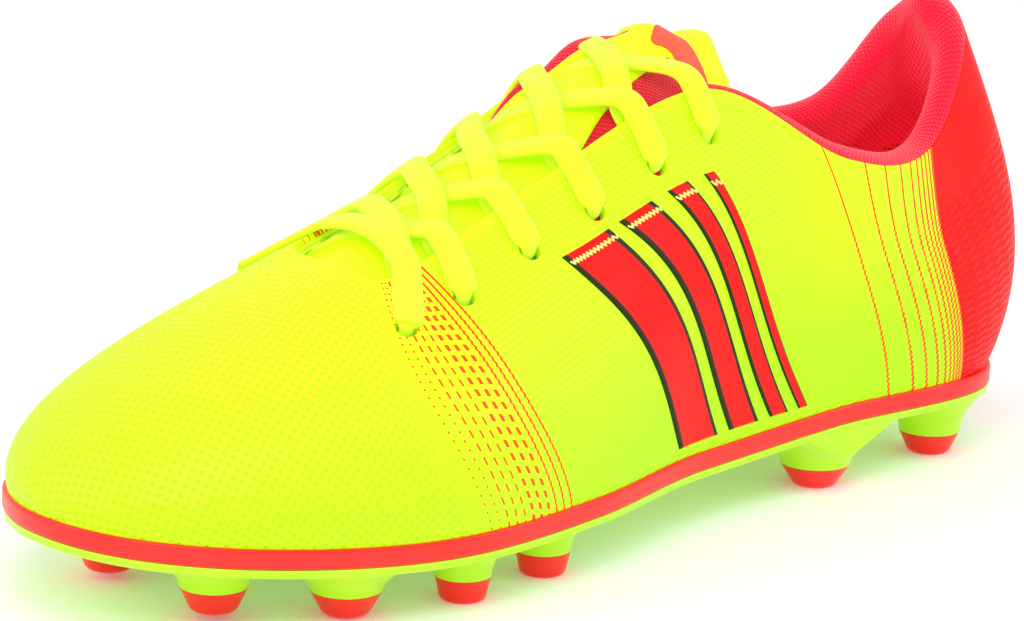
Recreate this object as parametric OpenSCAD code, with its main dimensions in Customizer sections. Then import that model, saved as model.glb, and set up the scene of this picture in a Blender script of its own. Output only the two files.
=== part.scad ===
// Soccer cleat for the left foot. The heel is at X = 0, the toe points along +X,
// the outer side of the foot is +Y, and the tips of the studs stand on Z = 0.
// The upper is drawn on a base-size last and graded to the sizes below.

/* [Last] */
// Length of the sole at the feather line, heel to toe
sole_length = 274; // [225:1:330]
// Width of the sole across the ball of the foot
sole_width = 96; // [80:1:116]
// Height of the heel tab above the rim of the sole
upper_height = 88; // [73:0.5:106]
// Rise of the toe tip above the flat of the sole
toe_spring = 6.5; // [3:0.1:12]

/* [Sole] */
// Height of the studs below the plate
stud_length = 13; // [9:0.5:16]
// Height of the hard tip at the end of each stud
tip_height = 5.5; // [3:0.5:7]
// Diameter of a stud where it meets the ground
stud_foot_d = 10; // [7:0.5:12]
// Thickness of the moulded plate
plate_t = 2; // [1.5:0.1:3]
// Height of the band round the edge of the sole
rim_h = 4.4; // [3:0.1:7]
// How far the band stands out from the upper
rim_out = 1.6; // [0.8:0.1:3]
// Thickness of the board that the upper is lasted over
board_t = 1.6; // [1:0.1:3]
// Thickness of the foam of the sockliner
sock_foam_t = 3; // [2:0.1:6]
// Thickness of the textile on the sockliner
sock_cover_t = 0.7; // [0.4:0.1:1.5]

/* [Upper] */
// Thickness of the outer material
skin_t = 1.2; // [0.8:0.1:2]
// Thickness of the stiffeners and padding behind the outer material
backing_t = 1; // [0.6:0.1:1.8]
// Thickness of the lining
lining_t = 0.8; // [0.5:0.1:1.2]
// Thickness of the foam in the collar
collar_foam_t = 5; // [3:0.1:7]
// Thickness of the padded tongue
tongue_t = 4; // [2.5:0.1:6]
// Length of the tongue above the last pair of eyelets
flap_length = 20; // [14:1:28]
// Thickness of the bars on the sides
bar_t = 0.5; // [0.3:0.1:1]

/* [Lacing] */
// Diameter of the punched eyelets
eyelet_d = 5; // [4:0.1:6]
// Distance from the edge of the facing to the middle of an eyelet
eyelet_inset = 14; // [10:0.5:17]
// Width of the flat lace
lace_w = 6.6; // [4:0.1:8]
// Thickness of the flat lace
lace_t = 1.3; // [0.8:0.1:1.8]
// Diameter of the tag on each lace end
aglet_d = 3; // [2.4:0.1:3.6]
// Length of the tag on each lace end
aglet_length = 22; // [12:1:26]

/* [Hidden] */
// Clearance between layers that lie on each other
gap = 0.05;
// Clearance below the upper where it stands on the plate
seat_gap = 0.15;
// Clearance between parts of the upper that meet edge to edge, in ribs and in rows
seam = [0.005, 0.001];
// Clearance between the bars and the faceted skin below them
bar_gap = 0.35;
// Clearance between the two bodies at the fold of the tongue
fold_gap = 0.8;

// Base-size last: one rib per row, from the toe along the outer side to the heel and
// back along the inner side. A rib runs from the feather line up to the edge of the
// throat or collar, and holds [x, y] of the feather line, [out, up] of the side wall
// from there, [x, y, z] of the top edge above the rim, and the shoulder from the top.
base_length = 274;
base_width = 96;
base_height = 88;
ribs = [
    [[271, -5], [3, 16], [196, -5, 50], [34, 0, -13]],
    [[265, 19], [3, 15], [195, 5, 50], [30, 14, -13]],
    [[239, 37], [4, 16], [190, 13, 48], [16, 20, -12]],
    [[197, 49], [4, 20], [171, 13, 54], [5, 24, -14]],
    [[155, 45], [3, 24], [147, 13, 64], [0, 21, -17]],
    [[112, 33], [3, 28], [99, 16, 80], [-2, 15, -22]],
    [[68, 31], [4, 26], [62, 27, 61], [0, 5, -20]],
    [[20, 31], [8, 24], [29, 22, 58], [-6, 8, -19]],
    [[1, 18], [13, 25], [9, 14, 80], [-10, 8, -27]],
    [[-4, 1], [12, 26], [3, 0, 88], [-10, 0, -30]],
    [[2, -16], [11, 25], [8, -14, 81], [-10, -6, -27]],
    [[20, -28], [8, 24], [27, -22, 61], [-6, -6, -20]],
    [[68, -31], [4, 26], [62, -27, 63], [0, -5, -20]],
    [[112, -30], [3, 28], [100, -24, 81], [0, -12, -23]],
    [[155, -36], [3, 26], [150, -19, 65], [2, -16, -15]],
    [[198, -47], [4, 20], [172, -17, 56], [6, -20, -12]],
    [[238, -45], [4, 15], [190, -16, 51], [15, -17, -12]],
    [[260, -29], [4, 17], [195, -12, 50], [30, -14, -14]]];
rib_count = len(ribs);
grade = [sole_length / base_length, sole_width / base_width, upper_height / base_height];

// Distance between the columns of the upper in ribs, and between its rows
column = 0.25;
row = 0.1;

// Heights of the sole
rim_level = stud_length + plate_t + rim_h;
ball_x = 195 * grade.x;
heel_x = 110 * grade.x;
heel_rise = 2.5;
function rim_z(x) = rim_level
    + toe_spring * pow(max(0, x - ball_x) / (sole_length - ball_x), 2)
    + heel_rise * smooth((heel_x - x) / (heel_x / 2));

// Vectors
function unit(v) = v / norm(v);
function flat(v) = [v.x, v.y, 0];
function turned(v) = [v.y, -v.x, 0];
function mix(a, b, t) = a * (1 - t) + b * t;
function smooth(t) = let (s = min(1, max(0, t))) s * s * (3 - 2 * s);

// Control points of one graded rib: feather line, wall, shoulder and top edge
function feather(i) = let (f = ribs[i % rib_count][0], x = f.x * grade.x)
    [x, f.y * grade.y, rim_z(x)];
function rib_out(i) = unit(turned(feather(i + 1) - feather(i + rib_count - 1)));
function control(i) = let (r = ribs[i % rib_count], f = feather(i),
    top = [r[2].x * grade.x, r[2].y * grade.y, rim_level + r[2].z * grade.z])
    [f,
     f + rib_out(i) * r[1].x + [0, 0, r[1].y * grade.z],
     top + [r[3].x * grade.x, r[3].y * grade.y, r[3].z * grade.z],
     top];
controls = [for (i = [0 : rib_count - 1]) control(i)];

// A closed Catmull-Rom curve through the ribs, at u ribs from the toe
function along(a, b, c, d, t) = (2 * b + (c - a) * t + (2 * a - 5 * b + 4 * c - d) * t * t
    + (3 * b - a - 3 * c + d) * t * t * t) / 2;
function rib_at(u) = let (w = u < 0 ? u + rib_count : u, i = floor(w), t = w - i)
    [for (k = [0 : 3]) along(controls[(i + rib_count - 1) % rib_count][k],
        controls[i % rib_count][k], controls[(i + 1) % rib_count][k],
        controls[(i + 2) % rib_count][k], t)];
function bezier(c, v) = c[0] * pow(1 - v, 3) + c[1] * 3 * v * pow(1 - v, 2)
    + c[2] * 3 * v * v * (1 - v) + c[3] * pow(v, 3);
function bezier_way(c, v) = (c[1] - c[0]) * pow(1 - v, 2) + (c[2] - c[1]) * 2 * v * (1 - v)
    + (c[3] - c[2]) * v * v;

// The outer face of the upper, its normal, and points at a depth below it
step = 0.02;
function skin(u, v) = bezier(rib_at(u), v);
function up_way(u, v) = unit(bezier_way(rib_at(u), v));
function normal(u, v) = unit(cross(skin(u + step, v) - skin(u - step, v), up_way(u, v)));
function at(u, v, depth) = skin(u, v) - normal(u, v) * depth;
function edge_out(u) = unit(turned(flat(rib_at(u + step)[0] - rib_at(u - step)[0])));
function outline(u, depth) = flat(rib_at(u)[0]) - edge_out(u) * depth;
function foot(u, depth) = let (p = outline(u, depth))
    [p.x, p.y, rim_z(p.x) - rim_h + seat_gap];

// A closed solid between two grids of points with the same rows and columns
function cell(a, b, c, d) = [[a, b, c], [a, c, d]];
module slab(outer, inner) {
    n = len(outer);
    m = len(outer[0]);
    half = n * m;
    points = [for (side = [outer, inner]) for (line = side) for (p = line) p];
    faces = [
        for (i = [0 : n - 2]) for (j = [0 : m - 2])
            each cell(i * m + j, i * m + j + 1, (i + 1) * m + j + 1, (i + 1) * m + j),
        for (i = [0 : n - 2]) for (j = [0 : m - 2])
            each cell(half + i * m + j, half + (i + 1) * m + j,
                      half + (i + 1) * m + j + 1, half + i * m + j + 1),
        for (i = [0 : n - 2])
            each cell(i * m, (i + 1) * m, half + (i + 1) * m, half + i * m),
        for (i = [0 : n - 2])
            each cell(i * m + m - 1, half + i * m + m - 1,
                      half + (i + 1) * m + m - 1, (i + 1) * m + m - 1),
        for (j = [0 : m - 2]) each cell(j, half + j, half + j + 1, j + 1),
        for (j = [0 : m - 2])
            each cell((n - 1) * m + j, (n - 1) * m + j + 1,
                      half + (n - 1) * m + j + 1, half + (n - 1) * m + j)];
    polyhedron(points, faces);
}

// Marks from one value to another on the shared grid, with both ends moved in by a seam
function marks(low, high, pitch, inset) = [
    low + inset,
    for (k = [ceil(low / pitch + 0.01) : floor(high / pitch - 0.01)]) k * pitch,
    high - inset];

// A stretch of one layer of the upper: from rib to rib, and from a low to a high row
function face(from, to, low, high, depth, floor) = [for (u = marks(from, to, column, seam[0]))
    [if (floor) foot(u, depth), for (v = marks(low, high, row, seam[1])) at(u, v, depth)]];
module layer(from, to, low, high, depth, thick, floor = false)
    slab(face(from, to, low, high, depth, floor),
         face(from, to, low, high, depth + thick, floor));
backing_depth = skin_t + gap;
lining_depth = backing_depth + backing_t + gap;
upper_depth = lining_depth + lining_t;

// Ribs and rows where the parts of the upper meet
vamp_side = 2.75;
heel_side = 7;
collar_front = 5;
puff_side = 1.5;
counter_side = 6;
stay_low = 0.7;
puff_high = 0.6;
collar_low = 0.6;
function inner(u) = rib_count - u;

// Eyelets, counted from the toe: the rib, and what is added to the inset there
eyelets = [[2.32, 4], [2.88, 2], [3.68, 0], [4.22, 0], [4.6, -1], [4.93, -3]];
function eyelet_v(u, more) = let (c = rib_at(u))
    1 - (eyelet_inset + more) / (3 * norm(c[3] - c[2]));
function side_u(side, u) = side > 0 ? u : inner(u);
module eyelet_holes(side) {
    for (e = eyelets) {
        u = side_u(side, e[0]);
        v = eyelet_v(u, e[1]);
        n = normal(u, v);
        translate(at(u, v, upper_depth / 2))
            rotate([0, acos(n.z), atan2(n.y, n.x)])
                cylinder(d = eyelet_d, h = upper_depth + 4, center = true, $fn = 24);
    }
}

// ---- Sole ----
sole_marks = [for (k = [0 : rib_count / column - 1]) k * column];
module plan(depth, height = 60)
    linear_extrude(height)
        polygon([for (u = sole_marks) let (p = outline(u, depth)) [p.x, p.y]]);
// What lies between two heights, both measured from the top of the rim
module between(low, high) {
    pitch = 8;
    xs = [for (x = [-24 : pitch : sole_length + 24]) x];
    rotate([90, 0, 0])
        linear_extrude(sole_width * 2, center = true)
            polygon(concat([for (x = xs) [x, rim_z(x) + high]],
                [for (k = [len(xs) - 1 : -1 : 0]) [xs[k], rim_z(xs[k]) + low]]));
}
module sole_slice(depth, low, high)
    intersection() {
        plan(depth);
        between(low, high);
    }

// Studs: [x, y] on the base-size sole, diameter where the hard tip starts, and
// diameter of the flare where the stud leaves the plate
outer_studs = [[[237, 14], 15, 25], [[213, 29], 16, 27], [[186, 36], 12.5, 19],
    [[160, 33], 12.5, 19], [[62, 21], 17, 30], [[19, 18], 15, 22]];
inner_studs = [[[238, -22], 15, 25], [[213, -35], 16, 25], [[186, -36], 12.5, 19],
    [[160, -28], 12.5, 19], [[62, -17], 17, 28], [[20, -17], 15, 22]];
stud_row = ["front", "second", "third", "fourth", "heel_front", "heel_back"];
studs = concat(outer_studs, inner_studs);
stud_tips = [for (side = ["outer", "inner"]) for (name = stud_row) str("tip_", side, "_", name)];
function stud_x(s) = s[0].x * grade.x;
function stud_foot(s) = max(0, stud_x(s) > ball_x ? rim_z(stud_x(s)) - rim_level : 0);
module at_stud(s)
    translate([stud_x(s), s[0].y * grade.y, stud_foot(s)]) children();
module stud_tip(s)
    color("#ff4a22")
        at_stud(s)
            cylinder(d1 = stud_foot_d, d2 = s[1], h = tip_height - gap, $fn = 48);
// The flare follows a power of the height, so it is steep at the tip and wide at the plate
module stud_boss(s) {
    top = rim_z(stud_x(s)) - rim_h - plate_t * 0.4 - stud_foot(s);
    flare = [for (t = [0 : 0.125 : 1])
        [s[1] / 2 + (s[2] - s[1]) / 2 * pow(t, 2.4), mix(tip_height, top, t)]];
    at_stud(s)
        rotate_extrude($fn = 48)
            polygon(concat([[0, tip_height]], flare, [[0, top]]));
}
plate_out = rim_out - 0.5;
module outsole_plate()
    color("#c8f51e")
        union() {
            sole_slice(-plate_out, -rim_h - plate_t, -rim_h - gap);
            intersection() {
                union()
                    for (s = studs) stud_boss(s);
                plan(-plate_out);
            }
        }
module sole_rim()
    color("#ff4a22")
        difference() {
            sole_slice(-rim_out, -rim_h, 0);
            plan(-gap);
        }
board_depth = upper_depth + 0.2;
board_top = -rim_h + seat_gap + board_t;
foam_top = board_top + gap + sock_foam_t;
module lasting_board()
    color("#b9a88c")
        sole_slice(board_depth, -rim_h + seat_gap, board_top);
module sockliner_foam()
    color("#3c3c40")
        sole_slice(board_depth, board_top + gap, foam_top);
module sockliner_cover()
    color("#d93a4a")
        sole_slice(board_depth, foam_top + gap, foam_top + gap + sock_cover_t);

// ---- Upper ----
module vamp()
    color("#dfff2e")
        difference() {
            layer(-vamp_side, vamp_side, 0, 1, 0, skin_t, true);
            eyelet_holes(1);
            eyelet_holes(-1);
        }
module quarter(side)
    color("#dfff2e")
        difference() {
            if (side > 0) layer(vamp_side, heel_side, 0, 1, 0, skin_t, true);
            else layer(inner(heel_side), inner(vamp_side), 0, 1, 0, skin_t, true);
            eyelet_holes(side);
        }
module quarter_outer() quarter(1);
module quarter_inner() quarter(-1);
module heel_panel()
    color("#ff4030")
        layer(heel_side, inner(heel_side), 0, 1, 0, skin_t, true);
module toe_puff()
    color("#efe9d8")
        layer(-puff_side, puff_side, 0, puff_high, backing_depth, backing_t, true);
module heel_counter()
    color("#efe9d8")
        layer(counter_side, inner(counter_side), 0, collar_low, backing_depth, backing_t, true);
module eyestay()
    color("#e8e4da")
        difference() {
            layer(-collar_front, collar_front, stay_low, 1, backing_depth, backing_t);
            eyelet_holes(1);
            eyelet_holes(-1);
        }
module side_padding(side)
    color("#f4f0a0") {
        if (side > 0) layer(puff_side, counter_side, 0, collar_low, backing_depth, backing_t, true);
        else layer(inner(counter_side), inner(puff_side), 0, collar_low,
            backing_depth, backing_t, true);
    }
module side_padding_outer() side_padding(1);
module side_padding_inner() side_padding(-1);
module vamp_lining()
    color("#f2f2ea")
        difference() {
            layer(-collar_front, collar_front, 0, 1, lining_depth, lining_t, true);
            eyelet_holes(1);
            eyelet_holes(-1);
        }
module heel_lining()
    color("#f0304a")
        layer(collar_front, inner(collar_front), 0, collar_low, lining_depth, lining_t, true);

// ---- Collar ----
// The foam fills out above the counter and thins out to the front ends of the collar
function collar_end(u) = smooth((u - collar_front) / 0.75) * smooth((inner(collar_front) - u) / 0.75);
function foam_t(u, v) = backing_t
    + (collar_foam_t - backing_t) * collar_end(u) * smooth((v - collar_low) / 0.25);
function roll_r(u) = (skin_t + foam_t(u, 1) + lining_t + 2 * gap) / 2;
function rolled(u, angle, r) = at(u, 1, roll_r(u)) + up_way(u, 1) * gap
    + (normal(u, 1) * cos(angle) + up_way(u, 1) * sin(angle)) * r;
collar_u = marks(collar_front, inner(collar_front), column, seam[0]);
collar_v = marks(collar_low, 1, row, seam[1]);
module collar_foam()
    color("#f6f0dc")
        slab([for (u = collar_u) concat(
                [for (v = collar_v) at(u, v, backing_depth)],
                [for (a = [25, 50, 75]) rolled(u, a, roll_r(u) - skin_t - gap)])],
             [for (u = collar_u) concat(
                [for (v = collar_v) at(u, v, backing_depth + foam_t(u, v))],
                [for (a = [155, 130, 105]) rolled(u, a, roll_r(u) - lining_t - gap)])]);
collar_turn = [155, 130, 105, 75, 50, 25, 0];
module collar_lining()
    color("#ff3056")
        slab([for (u = collar_u) concat(
                [for (v = collar_v) at(u, v, backing_depth + foam_t(u, v) + gap)],
                [for (a = collar_turn) rolled(u, a, roll_r(u) - lining_t)])],
             [for (u = collar_u) concat(
                [for (v = collar_v) at(u, v, backing_depth + foam_t(u, v) + gap + lining_t)],
                [for (a = collar_turn) rolled(u, a, roll_r(u))])]);

// ---- Throat ----
// A surface that runs over the throat at rib u: q goes from the outer side at row
// throat_low (q = 0) to its edge (1), over the gap to the inner edge (2) and down (3)
throat_low = 0.7;
bridge_pull = 0.4;
function bridge(u) = let (a = rib_at(u), b = rib_at(inner(u)))
    [a[3], a[3] + (a[3] - a[2]) * bridge_pull, b[3] + (b[3] - b[2]) * bridge_pull, b[3]];
function throat_skin(u, q) =
    q < 1 ? skin(u, mix(throat_low, 1, q)) :
    q > 2 ? skin(inner(u), mix(1, throat_low, q - 2)) :
    bezier(bridge(u), q - 1);
function heelward(u, q) = throat_skin(u + step, q) - throat_skin(u - step, q);
function throat_up(u, q) = unit(cross(heelward(u, q),
    throat_skin(u, q + step) - throat_skin(u, q - step)));
function throat(u, q, lift) = throat_skin(u, q) + throat_up(u, q) * lift;

// The tongue lies below the facings with room for the lace, and swells in the throat
tongue_room = upper_depth + lace_t + 0.7;
tongue_swell = 2.4;
function swell(q) = tongue_swell * (q > 1 && q < 2 ? pow(sin(180 * (q - 1)), 2) : 0);
// Its front end goes on under the vamp: [way forward, drop, share of the width that is left]
tongue_ends = [[14, 2.6, 0.6], [7, 1.1, 0.82]];
tongue_start = 1.75;
front_way = unit([0.93, 0, -0.36]);
tongue_u = [for (u = tongue_start; u <= 5; u = u + column) u];
tongue_q = [0.1, 0.4, 0.7, 1, 1.17, 1.33, 1.5, 1.67, 1.83, 2, 2.3, 2.6, 2.9];
function tongue_lift(q, top) = -tongue_room + swell(q) - (top ? 0 : tongue_t);
function tongue_front(e, q, top) = let (near = mix(1.5, q, e[2]))
    throat(tongue_start, near, tongue_lift(near, top) - e[1]) + front_way * e[0];
function tongue_end(q, top) = let (p = throat(5, q, tongue_lift(q, top)))
    p - flap_way * ((p - fold) * flap_way);
function tongue_face(top) = concat(
    [for (e = tongue_ends) [for (q = tongue_q) tongue_front(e, q, top)]],
    [for (u = tongue_u) [for (q = tongue_q) u < 5 ? throat(u, q, tongue_lift(q, top))
        : tongue_end(q, top)]]);
module tongue_body()
    color("#f22d55")
        slab(tongue_face(true), tongue_face(false));

// The flap above the last eyelets turns on a line across the top of the tongue
fold = throat(5, 1.5, -tongue_room + tongue_swell - tongue_t);
flap_way = unit([-0.98, 0, 0.19]);
flap_up = cross(flap_way, [0, -1, 0]);
flap_half = 16;
flap_drop = 5;
function flap_width(s) = flap_half * sqrt(1 - pow(s, 4) * 0.75);
function flap_point(s, t, lift) = fold + flap_way * (fold_gap + s * flap_length
    - (s > 0.6 ? pow(s - 0.6, 2) * 16 * t * t : 0))
    + [0, flap_width(s) * t, 0] + flap_up * (lift - flap_drop * t * t);
flap_s = [0, 0.2, 0.4, 0.6, 0.75, 0.9, 1];
flap_t = [-1, -0.75, -0.5, -0.25, 0, 0.25, 0.5, 0.75, 1];
function flap_face(lift) = [for (s = flap_s) [for (t = flap_t) flap_point(s, t, lift)]];
module tongue_flap()
    color("#dfff2e")
        slab(flap_face(0), flap_face(tongue_t - 0.5));
module tongue_label()
    color("#ff6a4a")
        slab([for (s = [0.15, 0.35, 0.55, 0.7]) [for (t = [-0.5, -0.25, 0, 0.25, 0.5])
                flap_point(s, t, tongue_t - 0.45)]],
             [for (s = [0.15, 0.35, 0.55, 0.7]) [for (t = [-0.5, -0.25, 0, 0.25, 0.5])
                flap_point(s, t, tongue_t + 0.2)]]);

// ---- Lacing ----
// The lace is one flat band. Each point of its route is [rib, q across the throat, lift
// above the outer face, width, thickness, turn], where turn is 0 on the crossings and
// gives the way round on the tails. A band that leaves an eyelet of the outer side
// crosses over the one that leaves the inner side, and each enters from outside.
lace_in = -upper_depth - lace_t / 2 - 0.2;
lace_out = lace_t / 2 + 0.25;
hole_w = eyelet_d * 0.64;
hole_t = eyelet_d * 0.34;
last_eyelet = len(eyelets) - 1;
function side_q(side, q) = side > 0 ? q : 3 - q;
function eyelet_u(k) = eyelets[k][0];
function eyelet_q(side, k) =
    (eyelet_v(side_u(side, eyelet_u(k)), eyelets[k][1]) - throat_low) / (1 - throat_low);
function flat_point(side, u, q, lift) = [u, side_q(side, q), lift, lace_w, lace_t, 0];
// Down through one eyelet, from outside, in a half turn that comes back towards the throat.
// The last one turns the other way at the inside, and goes on down along the lining.
bend_r = (lace_out - lace_in) / 2;
bend_mid = (lace_out + lace_in) / 2;
last_bend = 2.6;
bend = [[90, lace_w, lace_t], [54, mix(lace_w, hole_w, 0.6), mix(lace_t, hole_t, 0.6)],
    [18, hole_w, hole_t], [-18, hole_w, hole_t],
    [-54, mix(lace_w, hole_w, 0.6), mix(lace_t, hole_t, 0.6)], [-90, lace_w, lace_t]];
function q_per_mm(side, k) = let (c = rib_at(side_u(side, eyelet_u(k))))
    1 / (3 * norm(c[3] - c[2]) * (1 - throat_low));
function through(side, k) = [for (b = bend) [eyelet_u(k),
    side_q(side, eyelet_q(side, k) + q_per_mm(side, k)
        * (k == last_eyelet ? last_bend * b[0] / 90 : bend_r * (1 - cos(b[0])))),
    bend_mid + bend_r * sin(b[0]), b[1], b[2], 0]];
// Lift of a band as it crosses the throat, at q from 1.15 to 1.85 from its own side
crossing = [[1.15, 0], [1.3, 0.2], [1.4, 0.35], [1.5, 0.5], [1.62, 0.65], [1.8, 0.9], [1.9, 1]];
over_lift = [-1.9, 0.3, 0.6, 0.55, 0.6, 0.9, lace_out];
under_lift = [-3.1, -2.3, -1.9, -1.6, -1.2, 0.2, 0.8];
// From the inside of one eyelet to the outside of the next one on the other side
function leg(side, k) = let (from = eyelet_u(k), to = eyelet_u(k + 1))
    concat([flat_point(side, from, 0.8, lace_in), flat_point(side, from, 1, lace_in)],
        [for (c = [0 : len(crossing) - 1]) flat_point(side, mix(from, to, crossing[c][1]),
            crossing[c][0], (side > 0 ? over_lift : under_lift)[c])],
        [for (q = [2.02, 2.2]) flat_point(side, to, q, lace_out)],
        through(-side, k + 1));
function legs(side, k) = k == last_eyelet ? [] : concat(leg(side, k), legs(-side, k + 1));
// The free end goes down inside the upper, past the tongue, and forward along the lining
tail = [[0.02, 0.12, -0.3], [0.08, -0.1, -0.5], [0.2, -0.28, -0.7], [0.35, -0.38, -0.8],
    [0.52, -0.4, -0.8], [0.7, -0.4, -0.8], [0.88, -0.4, -0.8], [1.05, -0.4, -0.8]];
function tail_run(side) = [for (t = tail) [eyelet_u(last_eyelet) - t[0], side_q(side, t[1]),
    lace_in + t[2], lace_w, lace_t, side]];
function strand(side) = concat(
    [for (q = [1.3, 1.12, 0.98]) flat_point(side, eyelet_u(0), q, lace_out)],
    through(side, 0), legs(side, 0), tail_run(last_eyelet % 2 == 0 ? side : -side));
function reversed(list) = [for (k = [len(list) - 1 : -1 : 0]) list[k]];
route = concat(reversed(strand(-1)), [flat_point(1, eyelet_u(0), 1.5, lace_out)], strand(1));
route_points = [for (r = route) throat(r[0], r[1], r[2])];
function way(k) = unit(route_points[min(k + 1, len(route) - 1)] - route_points[max(k - 1, 0)]);
function across(k) = let (r = route[k], t = way(k),
        b = r[5] == 0 ? heelward(r[0], r[1]) : cross(t, throat_up(r[0], r[1]))
            * (k < len(route) / 2 ? -r[5] : r[5]))
    unit(b - t * (b * t));
function lace_ring(k) = let (r = route[k], p = route_points[k], b = across(k),
        n = cross(way(k), b))
    [for (c = [[-1, -1], [1, -1], [1, 1], [-1, 1]]) p + b * c.x * r[3] / 2 + n * c.y * r[4] / 2];
module shoelace() {
    rings = len(route);
    color("#eeff5a")
        polyhedron([for (k = [0 : rings - 1]) each lace_ring(k)],
            concat(
                [for (k = [0 : rings - 2]) for (c = [0 : 3]) let (d = (c + 1) % 4)
                    each cell(k * 4 + c, k * 4 + 4 + c, k * 4 + 4 + d, k * 4 + d)],
                cell(0, 1, 2, 3),
                [for (f = cell(3, 2, 1, 0)) [for (p = f) p + (rings - 1) * 4]]));
}
module aglet(end) {
    k = end > 0 ? len(route) - 1 : 0;
    p = route_points[k];
    t = way(k) * end;
    up = throat_up(route[k][0], route[k][1]);
    color("#e8ff50")
        translate(p + t * gap * 2 - up * (aglet_d - lace_t) / 2)
            rotate([0, acos(t.z), atan2(t.y, t.x)])
                cylinder(d = aglet_d, h = aglet_length, $fn = 24);
}
module aglet_inner() aglet(1);
module aglet_outer() aglet(-1);

// ---- Bars on the sides ----
// Plain slanted bars: [rib at the top, rib at the sole, width], widest in front
bars = [[4.08, 4.95, 15], [4.42, 5.33, 10], [4.68, 5.6, 6], [4.88, 5.78, 3]];
bar_rows = [0.04, 0.76];
function bar_face(side, bar, lift) = [for (s = [0 : 0.125 : 1])
    let (u = mix(bar[0], bar[1], s), v = mix(bar_rows[1], bar_rows[0], s),
        half = bar[2] / norm(skin(u + 0.5, v) - skin(u - 0.5, v)) / 2)
    [for (t = [-1, 0, 1]) at(side_u(side, u + t * half), v, -lift)]];
module side_bars(side)
    color("#ff4030")
        for (bar = bars)
            if (side > 0) slab(bar_face(side, bar, bar_gap + bar_t), bar_face(side, bar, bar_gap));
            else slab(bar_face(side, bar, bar_gap), bar_face(side, bar, bar_gap + bar_t));
module side_bars_outer() side_bars(1);
module side_bars_inner() side_bars(-1);

NODES = concat(["outsole_plate", "sole_rim"], stud_tips, ["lasting_board", "sockliner_foam",
    "sockliner_cover", "vamp", "quarter_outer", "quarter_inner", "heel_panel", "toe_puff",
    "heel_counter", "eyestay", "side_padding_outer", "side_padding_inner", "vamp_lining",
    "heel_lining", "collar_foam", "collar_lining", "tongue_body", "tongue_flap",
    "tongue_label", "shoelace", "aglet_outer", "aglet_inner", "side_bars_outer",
    "side_bars_inner"]);
node = "all";
function shown(name) = node == "all" || node == name;

// Every node is drawn with the middle of the boot's box over the origin
placing_marks = [for (u = sole_marks) each concat([outline(u, -rim_out)],
    [for (v = [0 : row : 1]) skin(u, v)])];
function middle(values) = (min(values) + max(values)) / 2;
centre = [middle([for (p = placing_marks) p.x]), middle([for (p = placing_marks) p.y]), 0];
module placed() translate(-centre) children();

if (shown("outsole_plate")) placed() outsole_plate();
if (shown("sole_rim")) placed() sole_rim();
for (k = [0 : len(studs) - 1])
    if (shown(stud_tips[k])) placed() stud_tip(studs[k]);
if (shown("lasting_board")) placed() lasting_board();
if (shown("sockliner_foam")) placed() sockliner_foam();
if (shown("sockliner_cover")) placed() sockliner_cover();
if (shown("vamp")) placed() vamp();
if (shown("quarter_outer")) placed() quarter_outer();
if (shown("quarter_inner")) placed() quarter_inner();
if (shown("heel_panel")) placed() heel_panel();
if (shown("toe_puff")) placed() toe_puff();
if (shown("heel_counter")) placed() heel_counter();
if (shown("eyestay")) placed() eyestay();
if (shown("side_padding_outer")) placed() side_padding_outer();
if (shown("side_padding_inner")) placed() side_padding_inner();
if (shown("vamp_lining")) placed() vamp_lining();
if (shown("heel_lining")) placed() heel_lining();
if (shown("collar_foam")) placed() collar_foam();
if (shown("collar_lining")) placed() collar_lining();
if (shown("tongue_body")) placed() tongue_body();
if (shown("tongue_flap")) placed() tongue_flap();
if (shown("tongue_label")) placed() tongue_label();
if (shown("shoelace")) placed() shoelace();
if (shown("aglet_outer")) placed() aglet_outer();
if (shown("aglet_inner")) placed() aglet_inner();
if (shown("side_bars_outer")) placed() side_bars_outer();
if (shown("side_bars_inner")) placed() side_bars_inner();
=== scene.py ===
# %% [markdown]
# # Soccer cleat for the left foot
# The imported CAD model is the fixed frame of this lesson. Every visible layer of the boot is
# made again here as a fine, smooth surface in the same place, and gets its own material.
# The frame comes in first, so that all sizes and places can be measured from it.

# %% The fixed frame
import math

import bpy
import numpy as np
from mathutils import Matrix, Vector


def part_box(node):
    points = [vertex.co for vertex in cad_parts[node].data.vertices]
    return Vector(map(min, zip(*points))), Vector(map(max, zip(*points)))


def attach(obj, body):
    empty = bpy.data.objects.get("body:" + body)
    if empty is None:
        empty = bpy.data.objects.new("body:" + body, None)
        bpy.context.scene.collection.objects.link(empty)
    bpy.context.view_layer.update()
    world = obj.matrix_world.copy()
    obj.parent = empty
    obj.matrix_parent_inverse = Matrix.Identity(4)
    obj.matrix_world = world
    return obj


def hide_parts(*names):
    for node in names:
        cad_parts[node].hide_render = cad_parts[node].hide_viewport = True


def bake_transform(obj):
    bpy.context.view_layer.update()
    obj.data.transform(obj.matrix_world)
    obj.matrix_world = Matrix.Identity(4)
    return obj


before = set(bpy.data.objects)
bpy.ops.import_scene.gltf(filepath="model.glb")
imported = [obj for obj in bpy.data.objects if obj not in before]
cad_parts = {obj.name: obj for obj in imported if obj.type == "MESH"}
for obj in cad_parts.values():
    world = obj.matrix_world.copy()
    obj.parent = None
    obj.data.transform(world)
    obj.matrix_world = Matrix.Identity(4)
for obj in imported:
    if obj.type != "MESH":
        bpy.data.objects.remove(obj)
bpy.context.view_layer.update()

# %% [markdown]
# ## The last
# A boot is pulled over a last, a solid foot shape. Here the last is a table of ribs: each rib is
# a cubic Bezier curve from the feather line at the sole up to the edge of the throat or collar,
# and the ribs are joined by a closed Catmull-Rom curve. It could be sculpted or modelled as a
# subdivision cage, but a formula can be evaluated anywhere, so all the layers of the upper
# agree with each other and with the CAD model to a hair.

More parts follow.
